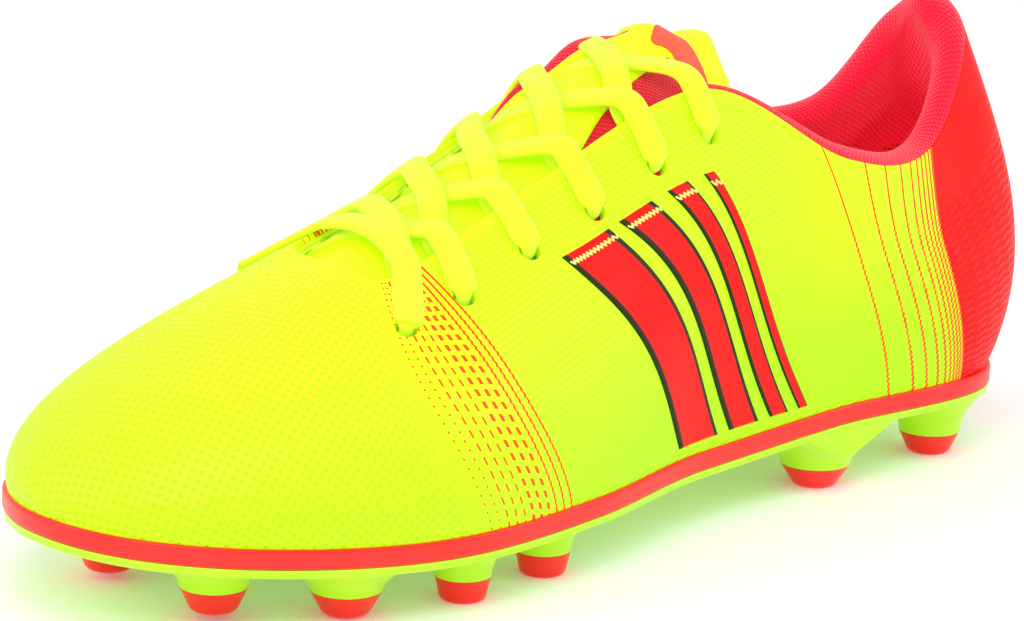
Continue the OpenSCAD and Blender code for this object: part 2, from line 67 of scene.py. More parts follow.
# %% The ribs of the last, in millimetres
# One rib per row, from the toe round the outer side to the heel and back along the inner side:
# x, y of the feather line; out, up of the side wall; x, y, z of the top edge above the rim;
# x, y, z of the shoulder from that top edge.
RIBS = np.array([
    [271, -5, 3, 16, 196, -5, 50, 34, 0, -13],
    [265, 19, 3, 15, 195, 5, 50, 30, 14, -13],
    [239, 37, 4, 16, 190, 13, 48, 16, 20, -12],
    [197, 49, 4, 20, 171, 13, 54, 5, 24, -14],
    [155, 45, 3, 24, 147, 13, 64, 0, 21, -17],
    [112, 33, 3, 28, 99, 16, 80, -2, 15, -22],
    [68, 31, 4, 26, 62, 27, 61, 0, 5, -20],
    [20, 31, 8, 24, 29, 22, 58, -6, 8, -19],
    [1, 18, 13, 25, 9, 14, 80, -10, 8, -27],
    [-4, 1, 12, 26, 3, 0, 88, -10, 0, -30],
    [2, -16, 11, 25, 8, -14, 81, -10, -6, -27],
    [20, -28, 8, 24, 27, -22, 61, -6, -6, -20],
    [68, -31, 4, 26, 62, -27, 63, 0, -5, -20],
    [112, -30, 3, 28, 100, -24, 81, 0, -12, -23],
    [155, -36, 3, 26, 150, -19, 65, 2, -16, -15],
    [198, -47, 4, 20, 172, -17, 56, 6, -20, -12],
    [238, -45, 4, 15, 190, -16, 51, 15, -17, -12],
    [260, -29, 4, 17, 195, -12, 50, 30, -14, -14]], float)
RIB_COUNT = len(RIBS)
SOLE_LENGTH, STUD_LENGTH, PLATE_T, RIM_H, RIM_OUT, SEAT_GAP = 274, 13, 2, 4.4, 1.6, 0.15
RIM_LEVEL = STUD_LENGTH + PLATE_T + RIM_H
BALL_X, HEEL_X, TOE_SPRING, HEEL_RISE = 195, 110, 6.5, 2.5


def smooth(t):
    """Eases from 0 to 1 as t goes from 0 to 1: three t squared less two t cubed."""
    t = np.clip(t, 0, 1)
    return t * t * (3 - 2 * t)


def mix(a, b, t):
    """A share t of the way from a to b."""
    return a * (1 - t) + b * t


def unit(vectors):
    """Each vector divided by its own length."""
    return vectors / np.linalg.norm(vectors, axis=-1, keepdims=True)


def rim_z(x):
    """Height of the rim's top: level, with a parabola up to the toe and a smooth step at the heel."""
    return (RIM_LEVEL + TOE_SPRING * (np.maximum(0, x - BALL_X) / (SOLE_LENGTH - BALL_X)) ** 2
            + HEEL_RISE * smooth((HEEL_X - x) / (HEEL_X / 2)))


feather = np.column_stack([RIBS[:, :2], rim_z(RIBS[:, 0])])
ahead = np.roll(feather, -1, 0) - np.roll(feather, 1, 0)
outward = unit(np.column_stack([ahead[:, 1], -ahead[:, 0], 0 * ahead[:, 0]]))
wall = feather + outward * RIBS[:, 2:3] + np.column_stack([0 * RIBS[:, :2], RIBS[:, 3]])
top = RIBS[:, 4:7] + [0, 0, RIM_LEVEL]
shoulder = top + RIBS[:, 7:10]
CONTROLS = np.stack([feather, wall, shoulder, top], 1)
print("ribs:", RIB_COUNT, "rim level:", round(RIM_LEVEL, 2), "mm")

# %% [markdown]
# Everything else on the upper is measured on this surface by two numbers: u counts ribs round
# the boot, and v runs from 0 at the sole to 1 at the throat or collar.


# %% The surface of the last
STEP = 0.02


def ribs_at(u):
    """The four control points at u, each on a Catmull-Rom curve from rib to rib."""
    u = np.asarray(u, float) % RIB_COUNT
    i = np.floor(u).astype(int)
    t = (u - i)[..., None, None]
    a, b, c, d = (CONTROLS[(i + k) % RIB_COUNT] for k in (-1, 0, 1, 2))
    return (2 * b + (c - a) * t + (2 * a - 5 * b + 4 * c - d) * t ** 2
            + (3 * b - a - 3 * c + d) * t ** 3) / 2


def skin(u, v):
    """The outer face: the cubic Bezier curve of the rib at u, followed to v."""
    u, v = np.broadcast_arrays(u, v)
    c, v = ribs_at(u), v[..., None]
    return (c[..., 0, :] * (1 - v) ** 3 + 3 * c[..., 1, :] * v * (1 - v) ** 2
            + 3 * c[..., 2, :] * v ** 2 * (1 - v) + c[..., 3, :] * v ** 3)


def up_way(u, v):
    """The direction in which v grows: the derivative of the Bezier curve, made a unit vector."""
    u, v = np.broadcast_arrays(u, v)
    c, v = ribs_at(u), v[..., None]
    return unit((c[..., 1, :] - c[..., 0, :]) * (1 - v) ** 2
                + (c[..., 2, :] - c[..., 1, :]) * 2 * v * (1 - v)
                + (c[..., 3, :] - c[..., 2, :]) * v ** 2)


def normal(u, v):
    """The outward direction: across both directions of the surface."""
    return unit(np.cross(skin(u + STEP, v) - skin(u - STEP, v), up_way(u, v)))


def at(u, v, depth):
    """A point at a depth below the outer face."""
    u, v, depth = np.broadcast_arrays(u, v, depth)
    return skin(u, v) - normal(u, v) * depth[..., None]


def edge_out(u):
    """The level direction that points away from the sole at its edge."""
    run = ribs_at(u + STEP)[..., 0, :] - ribs_at(u - STEP)[..., 0, :]
    return unit(np.stack([run[..., 1], -run[..., 0], 0 * run[..., 0]], -1))


def outline(u, out):
    """The edge of the sole moved outwards, at the height of the top of the rim."""
    point = ribs_at(u)[..., 0, :] + edge_out(u) * np.asarray(out)[..., None]
    return point * [1, 1, 0] + np.stack([0 * point[..., 0], 0 * point[..., 0], rim_z(point[..., 0])], -1)


round_the_boot = np.linspace(0, RIB_COUNT, 2000)
sole_corner = outline(round_the_boot, RIM_OUT).min(0)
CENTRE = np.array([*(sole_corner - np.array(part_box("sole_rim")[0]) * 1000)[:2], 0])
print("the frame's centre is at", CENTRE.round(2), "mm from the heel end of the last")

# %% [markdown]
# ## From arrays to meshes
# A surface is an array of points with rows and columns. These helpers turn one grid, or two
# grids with a wall between them, into a mesh. Blender could make a thin wall with a Solidify
# modifier, but two computed grids keep each layer exactly between its neighbours.


# %% Grids, shells and pieces
def grid_faces(rows, columns, start=0, round_rows=False, round_columns=False):
    """Four-sided faces over a grid whose points are stored row by row."""
    i, j = np.meshgrid(np.arange(rows - (not round_rows)), np.arange(columns - (not round_columns)),
                       indexing="ij")
    a, b = i * columns, (i + 1) % rows * columns
    k = (j + 1) % columns
    return start + np.stack([a + j, b + j, b + k, a + k], -1).reshape(-1, 4)


def shell(outer, inner):
    """Points and faces of a closed wall between two open grids of the same shape."""
    n, m = outer.shape[:2]
    i, j = np.arange(n), np.arange(m)
    ring = np.concatenate([i[:-1] * m, (n - 1) * m + j[:-1], i[:0:-1] * m + m - 1, j[:0:-1]])
    after, half = np.roll(ring, -1), n * m
    faces = np.concatenate([grid_faces(n, m), grid_faces(n, m, half)[:, ::-1],
                            np.stack([ring, half + ring, half + after, after], -1)])
    return np.concatenate([outer.reshape(-1, 3), inner.reshape(-1, 3)]), faces


def both(values):
    """The same values for the outer and the inner grid of a shell."""
    flat = values.reshape(-1, values.shape[-1])
    return np.concatenate([flat, flat])


def new_piece(name, points, faces, uv=None, fields=None, crease=40, rib=None):
    """A mesh object in the frame, in metres, from points in millimetres of the last."""
    mesh = bpy.data.meshes.new(name)
    mesh.from_pydata((points - CENTRE) / 1000, [], faces if isinstance(faces, list) else faces.tolist())
    corner = np.empty(len(mesh.loops), int)
    mesh.loops.foreach_get("vertex_index", corner)
    for title, values in (("flat", uv), ("rib", rib)):
        if values is not None:
            mesh.uv_layers.new(name=title).data.foreach_set("uv", values[corner].astype(np.float32).ravel())
    for title, values in (fields or {}).items():
        field = mesh.attributes.new(title, "FLOAT_VECTOR", "POINT")
        field.data.foreach_set("vector", values.astype(np.float32).ravel())
    piece = bpy.data.objects.new(name, mesh)
    bpy.context.scene.collection.objects.link(piece)
    mesh.shade_smooth()
    mesh.set_sharp_from_angle(angle=math.radians(crease))
    return piece


def fix_modifiers(piece, crease=40):
    """Replaces the piece's mesh with the one that its modifiers make."""
    made = bpy.data.meshes.new_from_object(piece.evaluated_get(bpy.context.evaluated_depsgraph_get()))
    piece.modifiers.clear()
    made.name = piece.name
    piece.data = made
    made.set_sharp_from_angle(angle=math.radians(crease))
    return piece


def write_fields(piece, fields):
    """Works out each field at the (u, v) of every face corner. A boolean keeps only UV layers, so
    the pairs are kept as one until here."""
    places = np.empty(len(piece.data.loops) * 2, np.float32)
    piece.data.uv_layers["rib"].data.foreach_get("uv", places)
    u, v = places.reshape(-1, 2).astype(float).T
    for title, make in fields.items():
        field = piece.data.attributes.new(title, "FLOAT_VECTOR", "CORNER")
        field.data.foreach_set("vector", make(u, v).astype(np.float32).ravel())
    piece.data.uv_layers.remove(piece.data.uv_layers["rib"])


def finish_piece(piece, material, slot, *nodes, body="boot"):
    """Gives the piece its material and its body, and hides the CAD nodes that it stands for. The slot is not
    used.
    """
    piece.data.materials.clear()
    piece.data.materials.append(material)
    if nodes:
        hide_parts(*nodes)
    if body:
        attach(piece, body)
    print(piece.name, len(piece.data.polygons), "faces")
    return piece


# %% [markdown]
# ## Colours
# The boot is fluorescent: its yellow and red send back more light than they get, so they stay
# bright in the shade. A little emission of the same colour does that. Colours are written as
# they look on a screen and changed to the linear values that a shader adds up.


# %% Colours and node helpers
def colour(red, green, blue):
    """A screen colour from 0 to 255 as linear light: the inverse of the sRGB curve."""
    value = np.array([red, green, blue]) / 255
    linear = np.where(value <= 0.04045, value / 12.92, ((value + 0.055) / 1.055) ** 2.4)
    return (*linear.tolist(), 1.0)


# The lime colour is painted shade: the yellow synthetic turns to it low on the boot and on its sides.
NEON_YELLOW, PAINTED_SHADE_LIME = colour(221, 255, 10), colour(186, 252, 0)
# The deeper red is painted shade for the troughs of the ribs on the red synthetic.
NEON_RED, PAINTED_SHADE_RED = colour(255, 20, 14), colour(226, 4, 6)
MESH_PINK, MESH_SHADE = colour(246, 16, 58), colour(216, 0, 20)
LACE_YELLOW, PLATE_LIME = colour(224, 248, 30), colour(186, 236, 6)
EDGING_DARK, THREAD_PALE = colour(40, 48, 22), colour(250, 250, 150)
TEXTILE_GREEN = colour(120, 232, 110)


def add(tree, kind, inputs=None, **settings):
    """One node with its settings, and its inputs set to a value or linked to a socket."""
    node = tree.nodes.new("ShaderNode" + kind)
    for name, value in settings.items():
        setattr(node, name, value)
    for name, value in (inputs or {}).items():
        if isinstance(value, bpy.types.NodeSocket):
            tree.links.new(value, node.inputs[name])
        else:
            node.inputs[name].default_value = value
    return node


def sums(tree, operation, first, second=0.0, third=0.0):
    """One step of arithmetic on sockets or numbers."""
    return add(tree, "Math", {0: first, 1: second, 2: third}, operation=operation).outputs[0]


def ramp(tree, value, low, high, start=0.0, end=1.0):
    """Goes smoothly from start to end as value goes from low to high."""
    return add(tree, "MapRange", {0: value, 1: low, 2: high, 3: start, 4: end},
               interpolation_type="SMOOTHSTEP").outputs[0]


def blend_colours(tree, share, first, second):
    """A share of the way from the first colour to the second."""
    node = tree.nodes.new("ShaderNodeMix")
    node.data_type = "RGBA"
    for socket, value in ((node.inputs[0], share), (node.inputs[6], first), (node.inputs[7], second)):
        if isinstance(value, bpy.types.NodeSocket):
            tree.links.new(value, socket)
        else:
            socket.default_value = value
    return node.outputs[2]


def new_group(name, inputs, outputs):
    """An empty node group with named number or vector inputs. Returns its tree and input node."""
    tree = bpy.data.node_groups.new(name, "ShaderNodeTree")
    for title, kind, value in inputs:
        socket = tree.interface.new_socket(title, in_out="INPUT", socket_type="NodeSocket" + kind)
        if kind != "Vector":
            socket.default_value = value
    for title, kind in outputs:
        tree.interface.new_socket(title, in_out="OUTPUT", socket_type="NodeSocket" + kind)
    return tree, tree.nodes.new("NodeGroupInput").outputs


def group_out(tree, **values):
    """Links the results to the group's outputs."""
    end = tree.nodes.new("NodeGroupOutput")
    for title, socket in values.items():
        tree.links.new(socket, end.inputs[title.replace("_", " ")])


def use(tree, group, **inputs):
    """Places a node group in a material and returns its outputs."""
    node = tree.nodes.new("ShaderNodeGroup")
    node.node_tree = group
    for title, value in inputs.items():
        socket = node.inputs[title.replace("_", " ")]
        if isinstance(value, bpy.types.NodeSocket):
            tree.links.new(value, socket)
        else:
            socket.default_value = value
    return node.outputs


def new_material(name, roughness=0.5, glow=0.0, sheen=0.0, coat=0.0, specular=0.5):
    """A material with one Principled BSDF. What is the same all over is set on its own sockets."""
    material = bpy.data.materials.new(name)
    material.use_nodes = True
    shader = material.node_tree.nodes["Principled BSDF"]
    shader.inputs["Roughness"].default_value = roughness
    shader.inputs["Emission Strength"].default_value = glow
    shader.inputs["Sheen Weight"].default_value = sheen
    shader.inputs["Coat Weight"].default_value = coat
    shader.inputs["Specular IOR Level"].default_value = specular
    return material, material.node_tree, shader


def paint(tree, shader, base, height=None, strength=0.4, distance=0.0004, roughness=None):
    """Links the base colour, the same colour to the glow, and the height to a Bump node."""
    tree.links.new(base, shader.inputs["Base Color"])
    if shader.inputs["Emission Strength"].default_value > 0:
        tree.links.new(base, shader.inputs["Emission Color"])
    if roughness is not None:
        tree.links.new(roughness, shader.inputs["Roughness"])
    if height is not None:
        bump = add(tree, "Bump", {"Height": height, "Strength": strength, "Distance": distance})
        tree.links.new(bump.outputs[0], shader.inputs["Normal"])


# %% [markdown]
# ## Shared effects
# Five effects come back on several finishes: a fine grain, embossed dimples, embossed ribs,
# printed lines and a knitted mesh. Each one is a node group, so that it is made once and every
# material only sets its numbers. The patterns read coordinates in millimetres.

# %% Grain
grain, given = new_group("Grain", [("Vector", "Vector", 0), ("Size", "Float", 0.4)],
                         [("Height", "Float"), ("Patches", "Float")])
shrunk = add(grain, "VectorMath", {0: given["Vector"], "Scale": sums(grain, "DIVIDE", 1.0, given["Size"])},
             operation="SCALE").outputs[0]
fine = add(grain, "TexNoise", {"Vector": shrunk, "Scale": 1.0, "Detail": 3.0}).outputs[0]
broad = add(grain, "TexNoise", {"Vector": shrunk, "Scale": 0.04, "Detail": 2.0}).outputs[0]
group_out(grain, Height=fine, Patches=broad)

# %% Dimples: a lattice of round dots, 1 in the middle of each
dimples, given = new_group("Dimples", [("Vector", "Vector", 0), ("Pitch", "Float", 2.0),
                                       ("Turn", "Float", 0.8), ("Size", "Float", 0.3)],
                           [("Height", "Float")])
turned = add(dimples, "VectorRotate", {"Vector": given["Vector"], "Angle": given["Turn"]},
             rotation_type="Z_AXIS").outputs[0]
scaled = add(dimples, "VectorMath", {0: turned, "Scale": sums(dimples, "DIVIDE", 1.0, given["Pitch"])},
             operation="SCALE").outputs[0]
cells = add(dimples, "TexVoronoi", {"Vector": scaled, "Scale": 1.0, "Randomness": 0.0},
            voronoi_dimensions="2D").outputs["Distance"]
dot_edge = sums(dimples, "MULTIPLY", given["Size"], 0.3)
group_out(dimples, Height=ramp(dimples, cells, given["Size"], dot_edge))

# %% Ribs: waves across one direction, broken up along the other
wavy, given = new_group("Wavy ribs", [("Vector", "Vector", 0), ("Pitch", "Float", 1.3),
                                      ("Turn", "Float", 0.5), ("Break", "Float", 0.4)],
                        [("Height", "Float")])
turned = add(wavy, "VectorRotate", {"Vector": given["Vector"], "Angle": given["Turn"]},
             rotation_type="Z_AXIS").outputs[0]
parts = add(wavy, "SeparateXYZ", {0: turned}).outputs
beat = sums(wavy, "MULTIPLY", sums(wavy, "DIVIDE", parts["X"], given["Pitch"]), 2.3)
sway = sums(wavy, "MULTIPLY", sums(wavy, "SINE", beat), given["Break"])
phase = sums(wavy, "ADD", sums(wavy, "MULTIPLY", sums(wavy, "DIVIDE", parts["Y"], given["Pitch"]),
                               math.tau), sway)
crest = sums(wavy, "MULTIPLY_ADD", sums(wavy, "SINE", phase), 0.5, 0.5)
dip = sums(wavy, "MULTIPLY_ADD", sums(wavy, "SINE", beat), sums(wavy, "MULTIPLY", given["Break"], 0.3), 0.8)
group_out(wavy, Height=sums(wavy, "MULTIPLY", crest, dip))

# %% Printed lines: the vector holds the number of the line, the way along it and the spacing
lines, given = new_group("Printed lines", [("Lines", "Vector", 0), ("First", "Float", 0),
                                           ("Last", "Float", 10), ("Half width", "Float", 0.25),
                                           ("Dash", "Float", 2.0), ("Fill", "Float", 1.1),
                                           ("Sway", "Float", 0.0)],
                         [("Mask", "Float")])
parts = add(lines, "SeparateXYZ", {0: given["Lines"]}).outputs
sway = sums(lines, "MULTIPLY", sums(lines, "SINE", sums(lines, "MULTIPLY", parts["Y"], 4.3)), given["Sway"])
count = sums(lines, "ADD", parts["X"], sums(lines, "DIVIDE", sway, parts["Z"]))
off = sums(lines, "ABSOLUTE", sums(lines, "SUBTRACT", count, sums(lines, "ROUND", count)))
distance = sums(lines, "MULTIPLY", off, parts["Z"])
stroke = ramp(lines, sums(lines, "SUBTRACT", distance, given["Half width"]), -0.07, 0.07, 1.0, 0.0)
share = sums(lines, "FRACT", sums(lines, "ADD", sums(lines, "DIVIDE", parts["Y"], given["Dash"]), 40.0))
dash = ramp(lines, sums(lines, "SUBTRACT", share, given["Fill"]), -0.04, 0.04, 1.0, 0.0)
inside = sums(lines, "MULTIPLY",
              sums(lines, "GREATER_THAN", count, sums(lines, "SUBTRACT", given["First"], 0.5)),
              sums(lines, "LESS_THAN", count, sums(lines, "ADD", given["Last"], 0.5)))
group_out(lines, Mask=sums(lines, "MULTIPLY", sums(lines, "MULTIPLY", stroke, dash), inside))

# %% Knitted mesh: small staggered holes between threads
knit, given = new_group("Knitted mesh", [("Vector", "Vector", 0), ("Pitch", "Float", 1.2)],
                        [("Height", "Float"), ("Holes", "Float")])
stretched = add(knit, "VectorMath", {0: given["Vector"], 1: (1.0, 0.62, 1.0)},
                operation="MULTIPLY").outputs[0]
stretched = add(knit, "VectorRotate", {"Vector": stretched, "Angle": math.radians(45)},
                rotation_type="Z_AXIS").outputs[0]
scaled = add(knit, "VectorMath", {0: stretched, "Scale": sums(knit, "DIVIDE", 1.4, given["Pitch"])},
             operation="SCALE").outputs[0]
cells = add(knit, "TexVoronoi", {"Vector": scaled, "Scale": 1.0, "Randomness": 0.12},
            voronoi_dimensions="2D").outputs["Distance"]
group_out(knit, Height=ramp(knit, cells, 0.12, 0.5), Holes=ramp(knit, cells, 0.42, 0.16))
print("effects:", [group.name for group in bpy.data.node_groups])

# %% [markdown]
# ## A flat pattern for the upper
# Embossed dimples and ribs are pressed into the material while it is flat, before it is pulled
# over the last. So the upper is unrolled once: a coarse net of the whole shell is laid flat with
# Blender's conformal unwrap, and every piece looks up its place on that sheet.

# %% Unroll the upper
net_u, net_v = np.linspace(0, RIB_COUNT, 109), np.linspace(0, 1, 15)
cut = 9.0
sheet_u = net_u - RIB_COUNT + cut
net_points = skin(sheet_u[:, None], net_v[None])
net = new_piece("flat_pattern", net_points.reshape(-1, 3), grid_faces(len(net_u), len(net_v)),
                np.zeros((net_points[..., 0].size, 2)))
bpy.context.view_layer.objects.active = net
net.select_set(True)
bpy.ops.object.mode_set(mode="EDIT")
bpy.ops.mesh.select_all(action="SELECT")
bpy.ops.uv.unwrap(method="CONFORMAL", margin=0.0)
bpy.ops.object.mode_set(mode="OBJECT")
corner = np.empty(len(net.data.loops), int)
net.data.loops.foreach_get("vertex_index", corner)
spread = np.empty(len(corner) * 2)
net.data.uv_layers["flat"].data.foreach_get("uv", spread)
PATTERN = np.empty((net_points[..., 0].size, 2))
PATTERN[corner] = spread.reshape(-1, 2)
PATTERN = PATTERN.reshape(*net_points.shape[:2], 2)
real = np.linalg.norm(np.diff(net_points, axis=0), axis=-1).mean()
PATTERN *= real / np.linalg.norm(np.diff(PATTERN, axis=0), axis=-1).mean()
middle = PATTERN[54, 7]
side = np.arctan2(*(PATTERN[78, 7] - PATTERN[54, 7])[::-1])
turn_back = np.array([[math.cos(side), -math.sin(side)], [math.sin(side), math.cos(side)]])
PATTERN = (PATTERN - middle) @ turn_back
bpy.data.objects.remove(net)
print("the sheet measures", np.ptp(PATTERN.reshape(-1, 2), 0).round(), "mm")


def flat_place(u, v):
    """The place of (u, v) on the flat sheet in millimetres: linear between the points of the net."""
    u, v = np.broadcast_arrays(u, v)
    i = ((u + cut) % RIB_COUNT) * (len(net_u) - 1) / RIB_COUNT
    j = np.clip(v, 0, 1) * (len(net_v) - 1)
    a, b = np.clip(i.astype(int), 0, len(net_u) - 2), np.clip(j.astype(int), 0, len(net_v) - 2)
    s, t = (i - a)[..., None], (j - b)[..., None]
    return mix(mix(PATTERN[a, b], PATTERN[a + 1, b], s), mix(PATTERN[a, b + 1], PATTERN[a + 1, b + 1], s), t)


# %% [markdown]
# ## Printed lines on the sheet
# Two fans of fine lines are printed on the sides: eleven that sweep forward from the sole to
# the first eyelets, and ten that close up towards the heel. Each point of the upper is told the
# number of the line at that place, the way along it, and the spacing there in millimetres, and
# the material draws lines of an even width from that.


# %% The two fans of lines
FRONT_LINES, FRONT_START, FRONT_SPREAD, FRONT_BEND = 10, 3.17, 0.605, 1.28
HEEL_PLACES = np.array([0, .30, .47, .62, .73, .80, .855, .905, .95, .985])


def heel_line(v):
    """The rib where the quarter ends and the heel panel starts, a shallow curve."""
    return 6.75 + np.where(v < 0.6, 0.42, 1.9) * (v - 0.6) ** 2


def own_side(u):
    """Ribs counted from the toe, the same on both sides of the boot."""
    u = u % RIB_COUNT
    return np.minimum(u, RIB_COUNT - u)


def front_number(u, v):
    """The sweep of the front fan: ribs, less the start, plus a bend that grows with the height."""
    return (own_side(u) + FRONT_BEND * np.clip(v, 0, 1) ** 1.25 - FRONT_START) / FRONT_SPREAD * FRONT_LINES


def heel_number(u, v):
    """The share of the way from the first line to the heel panel, changed to the number of a line."""
    first = 6.38 - 0.42 * v - 0.18 * v ** 2
    share = (own_side(u) - first) / (heel_line(v) - first)
    number = np.interp(share, HEEL_PLACES, np.arange(len(HEEL_PLACES)))
    return np.where(share < 0, share * 3, np.where(share > 0.99, 9 + (share - 0.99) * 20, number))


def line_field(number, u, v):
    """Number of the line, way along it in millimetres, and millimetres from one line to the next."""
    small = 0.01
    count = number(u, v)
    across = np.linalg.norm(skin(u + small, v) - skin(u - small, v), axis=-1)
    per_rib = np.abs(number(u + small, v) - number(u - small, v)) + 1e-6
    return np.stack([count, flat_place(u, v)[..., 1], across / per_rib], -1)


# %% [markdown]
# ## The material of the upper
# The synthetic is bright yellow, painted greener low on the boot and on its sides as painted shade. The
# forefoot is embossed with small dimples, the sides with fine wavy ribs, and the top edge is smooth; the pits
# and troughs are painted darker as painted shade.

# %% Yellow synthetic with the embossing and the printed lines
def zone_of(tree):
    """The three parts of the zone field at a point of the piece."""
    field = add(tree, "Attribute", attribute_name="zone").outputs["Vector"]
    return add(tree, "SeparateXYZ", {0: field}).outputs


yellow, tree, shader = new_material("yellow synthetic", roughness=0.48, glow=0.16, specular=0.3)
place = add(tree, "TexCoord").outputs
where = add(tree, "UVMap", uv_map="flat").outputs[0]
zone = zone_of(tree)
height = add(tree, "SeparateXYZ", {0: place["Object"]}).outputs["Z"]
speckle = use(tree, grain, Vector=where, Size=0.5)
spots = use(tree, dimples, Vector=where, Pitch=1.9, Turn=0.7, Size=0.33)["Height"]
waves = use(tree, wavy, Vector=where, Pitch=1.55, Turn=-0.55, Break=0.3)["Height"]
# Painted shade: the yellow is painted lime towards the sole, by the height of the point on the piece.
lime = ramp(tree, sums(tree, "MULTIPLY_ADD", speckle["Patches"], 0.01, height), 0.022, 0.075, 0.85, 0.0)
# Painted shade: the third share of the zone field paints the sides greener as well.
lime = sums(tree, "MULTIPLY_ADD", zone["Z"], 0.4, lime)
base = blend_colours(tree, lime, NEON_YELLOW, PAINTED_SHADE_LIME)
pits = sums(tree, "MULTIPLY", spots, zone["X"])
troughs = sums(tree, "MULTIPLY", sums(tree, "SUBTRACT", 1.0, waves), zone["Y"])
# Painted shade: the pits of the dimples and the troughs of the ribs are painted a darker green.
base = blend_colours(tree, sums(tree, "MULTIPLY", pits, 0.22), base, colour(140, 222, 0))
base = blend_colours(tree, sums(tree, "MULTIPLY", troughs, 0.30), base, colour(150, 226, 0))
ink = None
front = add(tree, "Attribute", attribute_name="front_lines").outputs["Vector"]
heel = add(tree, "Attribute", attribute_name="heel_lines").outputs["Vector"]
STROKES = [(front, 0, 1, 0.24, 2.0, 0.3, 0.0), (front, 2, 4, 0.27, 3.0, 0.62, 0.0),
           (front, 5, 7, 0.46, 2.9, 0.6, 0.0), (front, 8, 10, 0.30, 3.0, 1.2, 0.12),
           (heel, 0, 9, 0.34, 3.0, 1.2, 0.22)]
low_down = ramp(tree, height, 0.058, 0.068, 1.0, 0.1)
for field, first, last, half, dash, fill, sway in STROKES:
    drawn = use(tree, lines, Lines=field, First=first, Last=last, Half_width=half, Dash=dash, Fill=fill,
                Sway=sums(tree, "MULTIPLY", low_down, sway))["Mask"]
    ink = drawn if ink is None else sums(tree, "MAXIMUM", ink, drawn)
base = blend_colours(tree, sums(tree, "MULTIPLY", ink, 0.95), base, colour(238, 58, 0))
relief = sums(tree, "ADD", sums(tree, "MULTIPLY", pits, -1.0), sums(tree, "MULTIPLY", troughs, -0.7))
relief = sums(tree, "MULTIPLY_ADD", speckle["Height"], 0.12, relief)
paint(tree, shader, base, relief, 0.6, 0.0004,
      sums(tree, "MULTIPLY_ADD", speckle["Patches"], 0.1, 0.40))

# %% Red synthetic of the heel panel and the bars
red_leather, tree, shader = new_material("red synthetic", roughness=0.48, glow=0.10, specular=0.16)
where = add(tree, "UVMap", uv_map="flat").outputs[0]
zone = zone_of(tree)
speckle = use(tree, grain, Vector=where, Size=0.5)
waves = use(tree, wavy, Vector=where, Pitch=2.1, Turn=-0.42, Break=0.8)["Height"]
# Painted shade: the troughs of the ribs are painted a deeper red.
dark = sums(tree, "MULTIPLY", sums(tree, "SUBTRACT", 1.0, waves), zone["X"])
base = blend_colours(tree, sums(tree, "MULTIPLY", dark, 0.9), NEON_RED, PAINTED_SHADE_RED)
edged = blend_colours(tree, zone["Z"], base, EDGING_DARK)
paint(tree, shader, edged,
      sums(tree, "MULTIPLY_ADD", speckle["Height"], 0.12, sums(tree, "MULTIPLY", dark, -1.0)),
      0.8, 0.0006, sums(tree, "MULTIPLY_ADD", speckle["Patches"], 0.12, 0.36))


# %% [markdown]
# ## The layers of the upper
# The upper has an outer skin, stiffeners and padding behind it, and a lining. A layer is a shell
# between two depths. The free top edge of the skin is turned over a small radius, as a cut edge
# rounds when it is pressed.


# %% One layer of the upper
EYELETS = [[2.32, 4], [2.88, 2], [3.68, 0], [4.22, 0], [4.6, -1], [4.93, -3]]
EYELET_D, EYELET_INSET = 5, 14
SKIN_T, BACKING_T, LINING_T, GAP = 1.2, 1.0, 0.8, 0.05
BACKING_DEPTH = SKIN_T + GAP
LINING_DEPTH = BACKING_DEPTH + BACKING_T + GAP
UPPER_DEPTH = LINING_DEPTH + LINING_T
ROUND_TURN = np.radians([0, 22.5, 45, 67.5, 90])


def foot(u, depth):
    """The lower edge of a layer, tucked in between the rim and the board."""
    return outline(u, -np.asarray(depth)) + [0, 0, SEAT_GAP - RIM_H]


def layer_places(start, stop, columns, low, high, rows, rounding):
    """Arrays of u, v and extra depth. Start and stop may bend with v, the last rows turn over."""
    share = np.linspace(0, 1, columns)[:, None]
    if high < 1 or rounding == 0:
        v = np.broadcast_to(np.linspace(low, high, rows)[None], (columns, rows))
        dip = np.zeros((columns, rows))
    else:
        middle_u = mix(start(0.9), stop(0.9), share)
        c = ribs_at(middle_u[:, 0])
        run = 3 * np.linalg.norm(c[:, 3] - c[:, 2], axis=-1)[:, None]
        edge = 1 - rounding * (1 - np.sin(ROUND_TURN))[None] / run
        v = np.concatenate([np.linspace(0, 1, rows)[None, :-1] * (edge[:, :1] - low) + low, edge], 1)
        dip = np.concatenate([np.zeros((columns, rows - 1)),
                              np.broadcast_to(rounding * (1 - np.cos(ROUND_TURN)), edge.shape)], 1)
    return mix(start(v), stop(v), share), v, dip


def layer(name, start, stop, columns, low, high, rows, depth, thick, rounding=0.0):
    """A closed shell between two depths, from a start rib to a stop rib and a low to a high row."""
    begin, end = ((lambda v, k=k: k + 0 * np.asarray(v, float)) if np.isscalar(k) else k
                  for k in (start, stop))
    u, v, dip = layer_places(begin, end, columns, low, high, rows, rounding)
    faces = []
    for level, extra in ((depth, dip), (depth + thick, 0 * dip)):
        grid = at(u, v, level + extra)
        if low == 0:
            grid = np.concatenate([foot(u[:, :1], level), grid], 1)
        faces.append(grid)
    if low == 0:
        u, v = (np.concatenate([x[:, :1], x], 1) for x in (u, v))
    points, quads = shell(*faces)
    return new_piece(name, points, quads, both(flat_place(u, v)), rib=both(np.stack([u, v], -1)))


def eyelet_v(u, more):
    """The row of an eyelet: its inset from the edge, measured along the top of the rib."""
    c = ribs_at(u)
    return 1 - (EYELET_INSET + more) / (3 * np.linalg.norm(c[..., 3, :] - c[..., 2, :], axis=-1))


# %% [markdown]
# The eyelets are plain punched holes. A boolean with one round punch for each eyelet cuts them
# through the skin, the stay behind it and the lining, and is applied straight away.

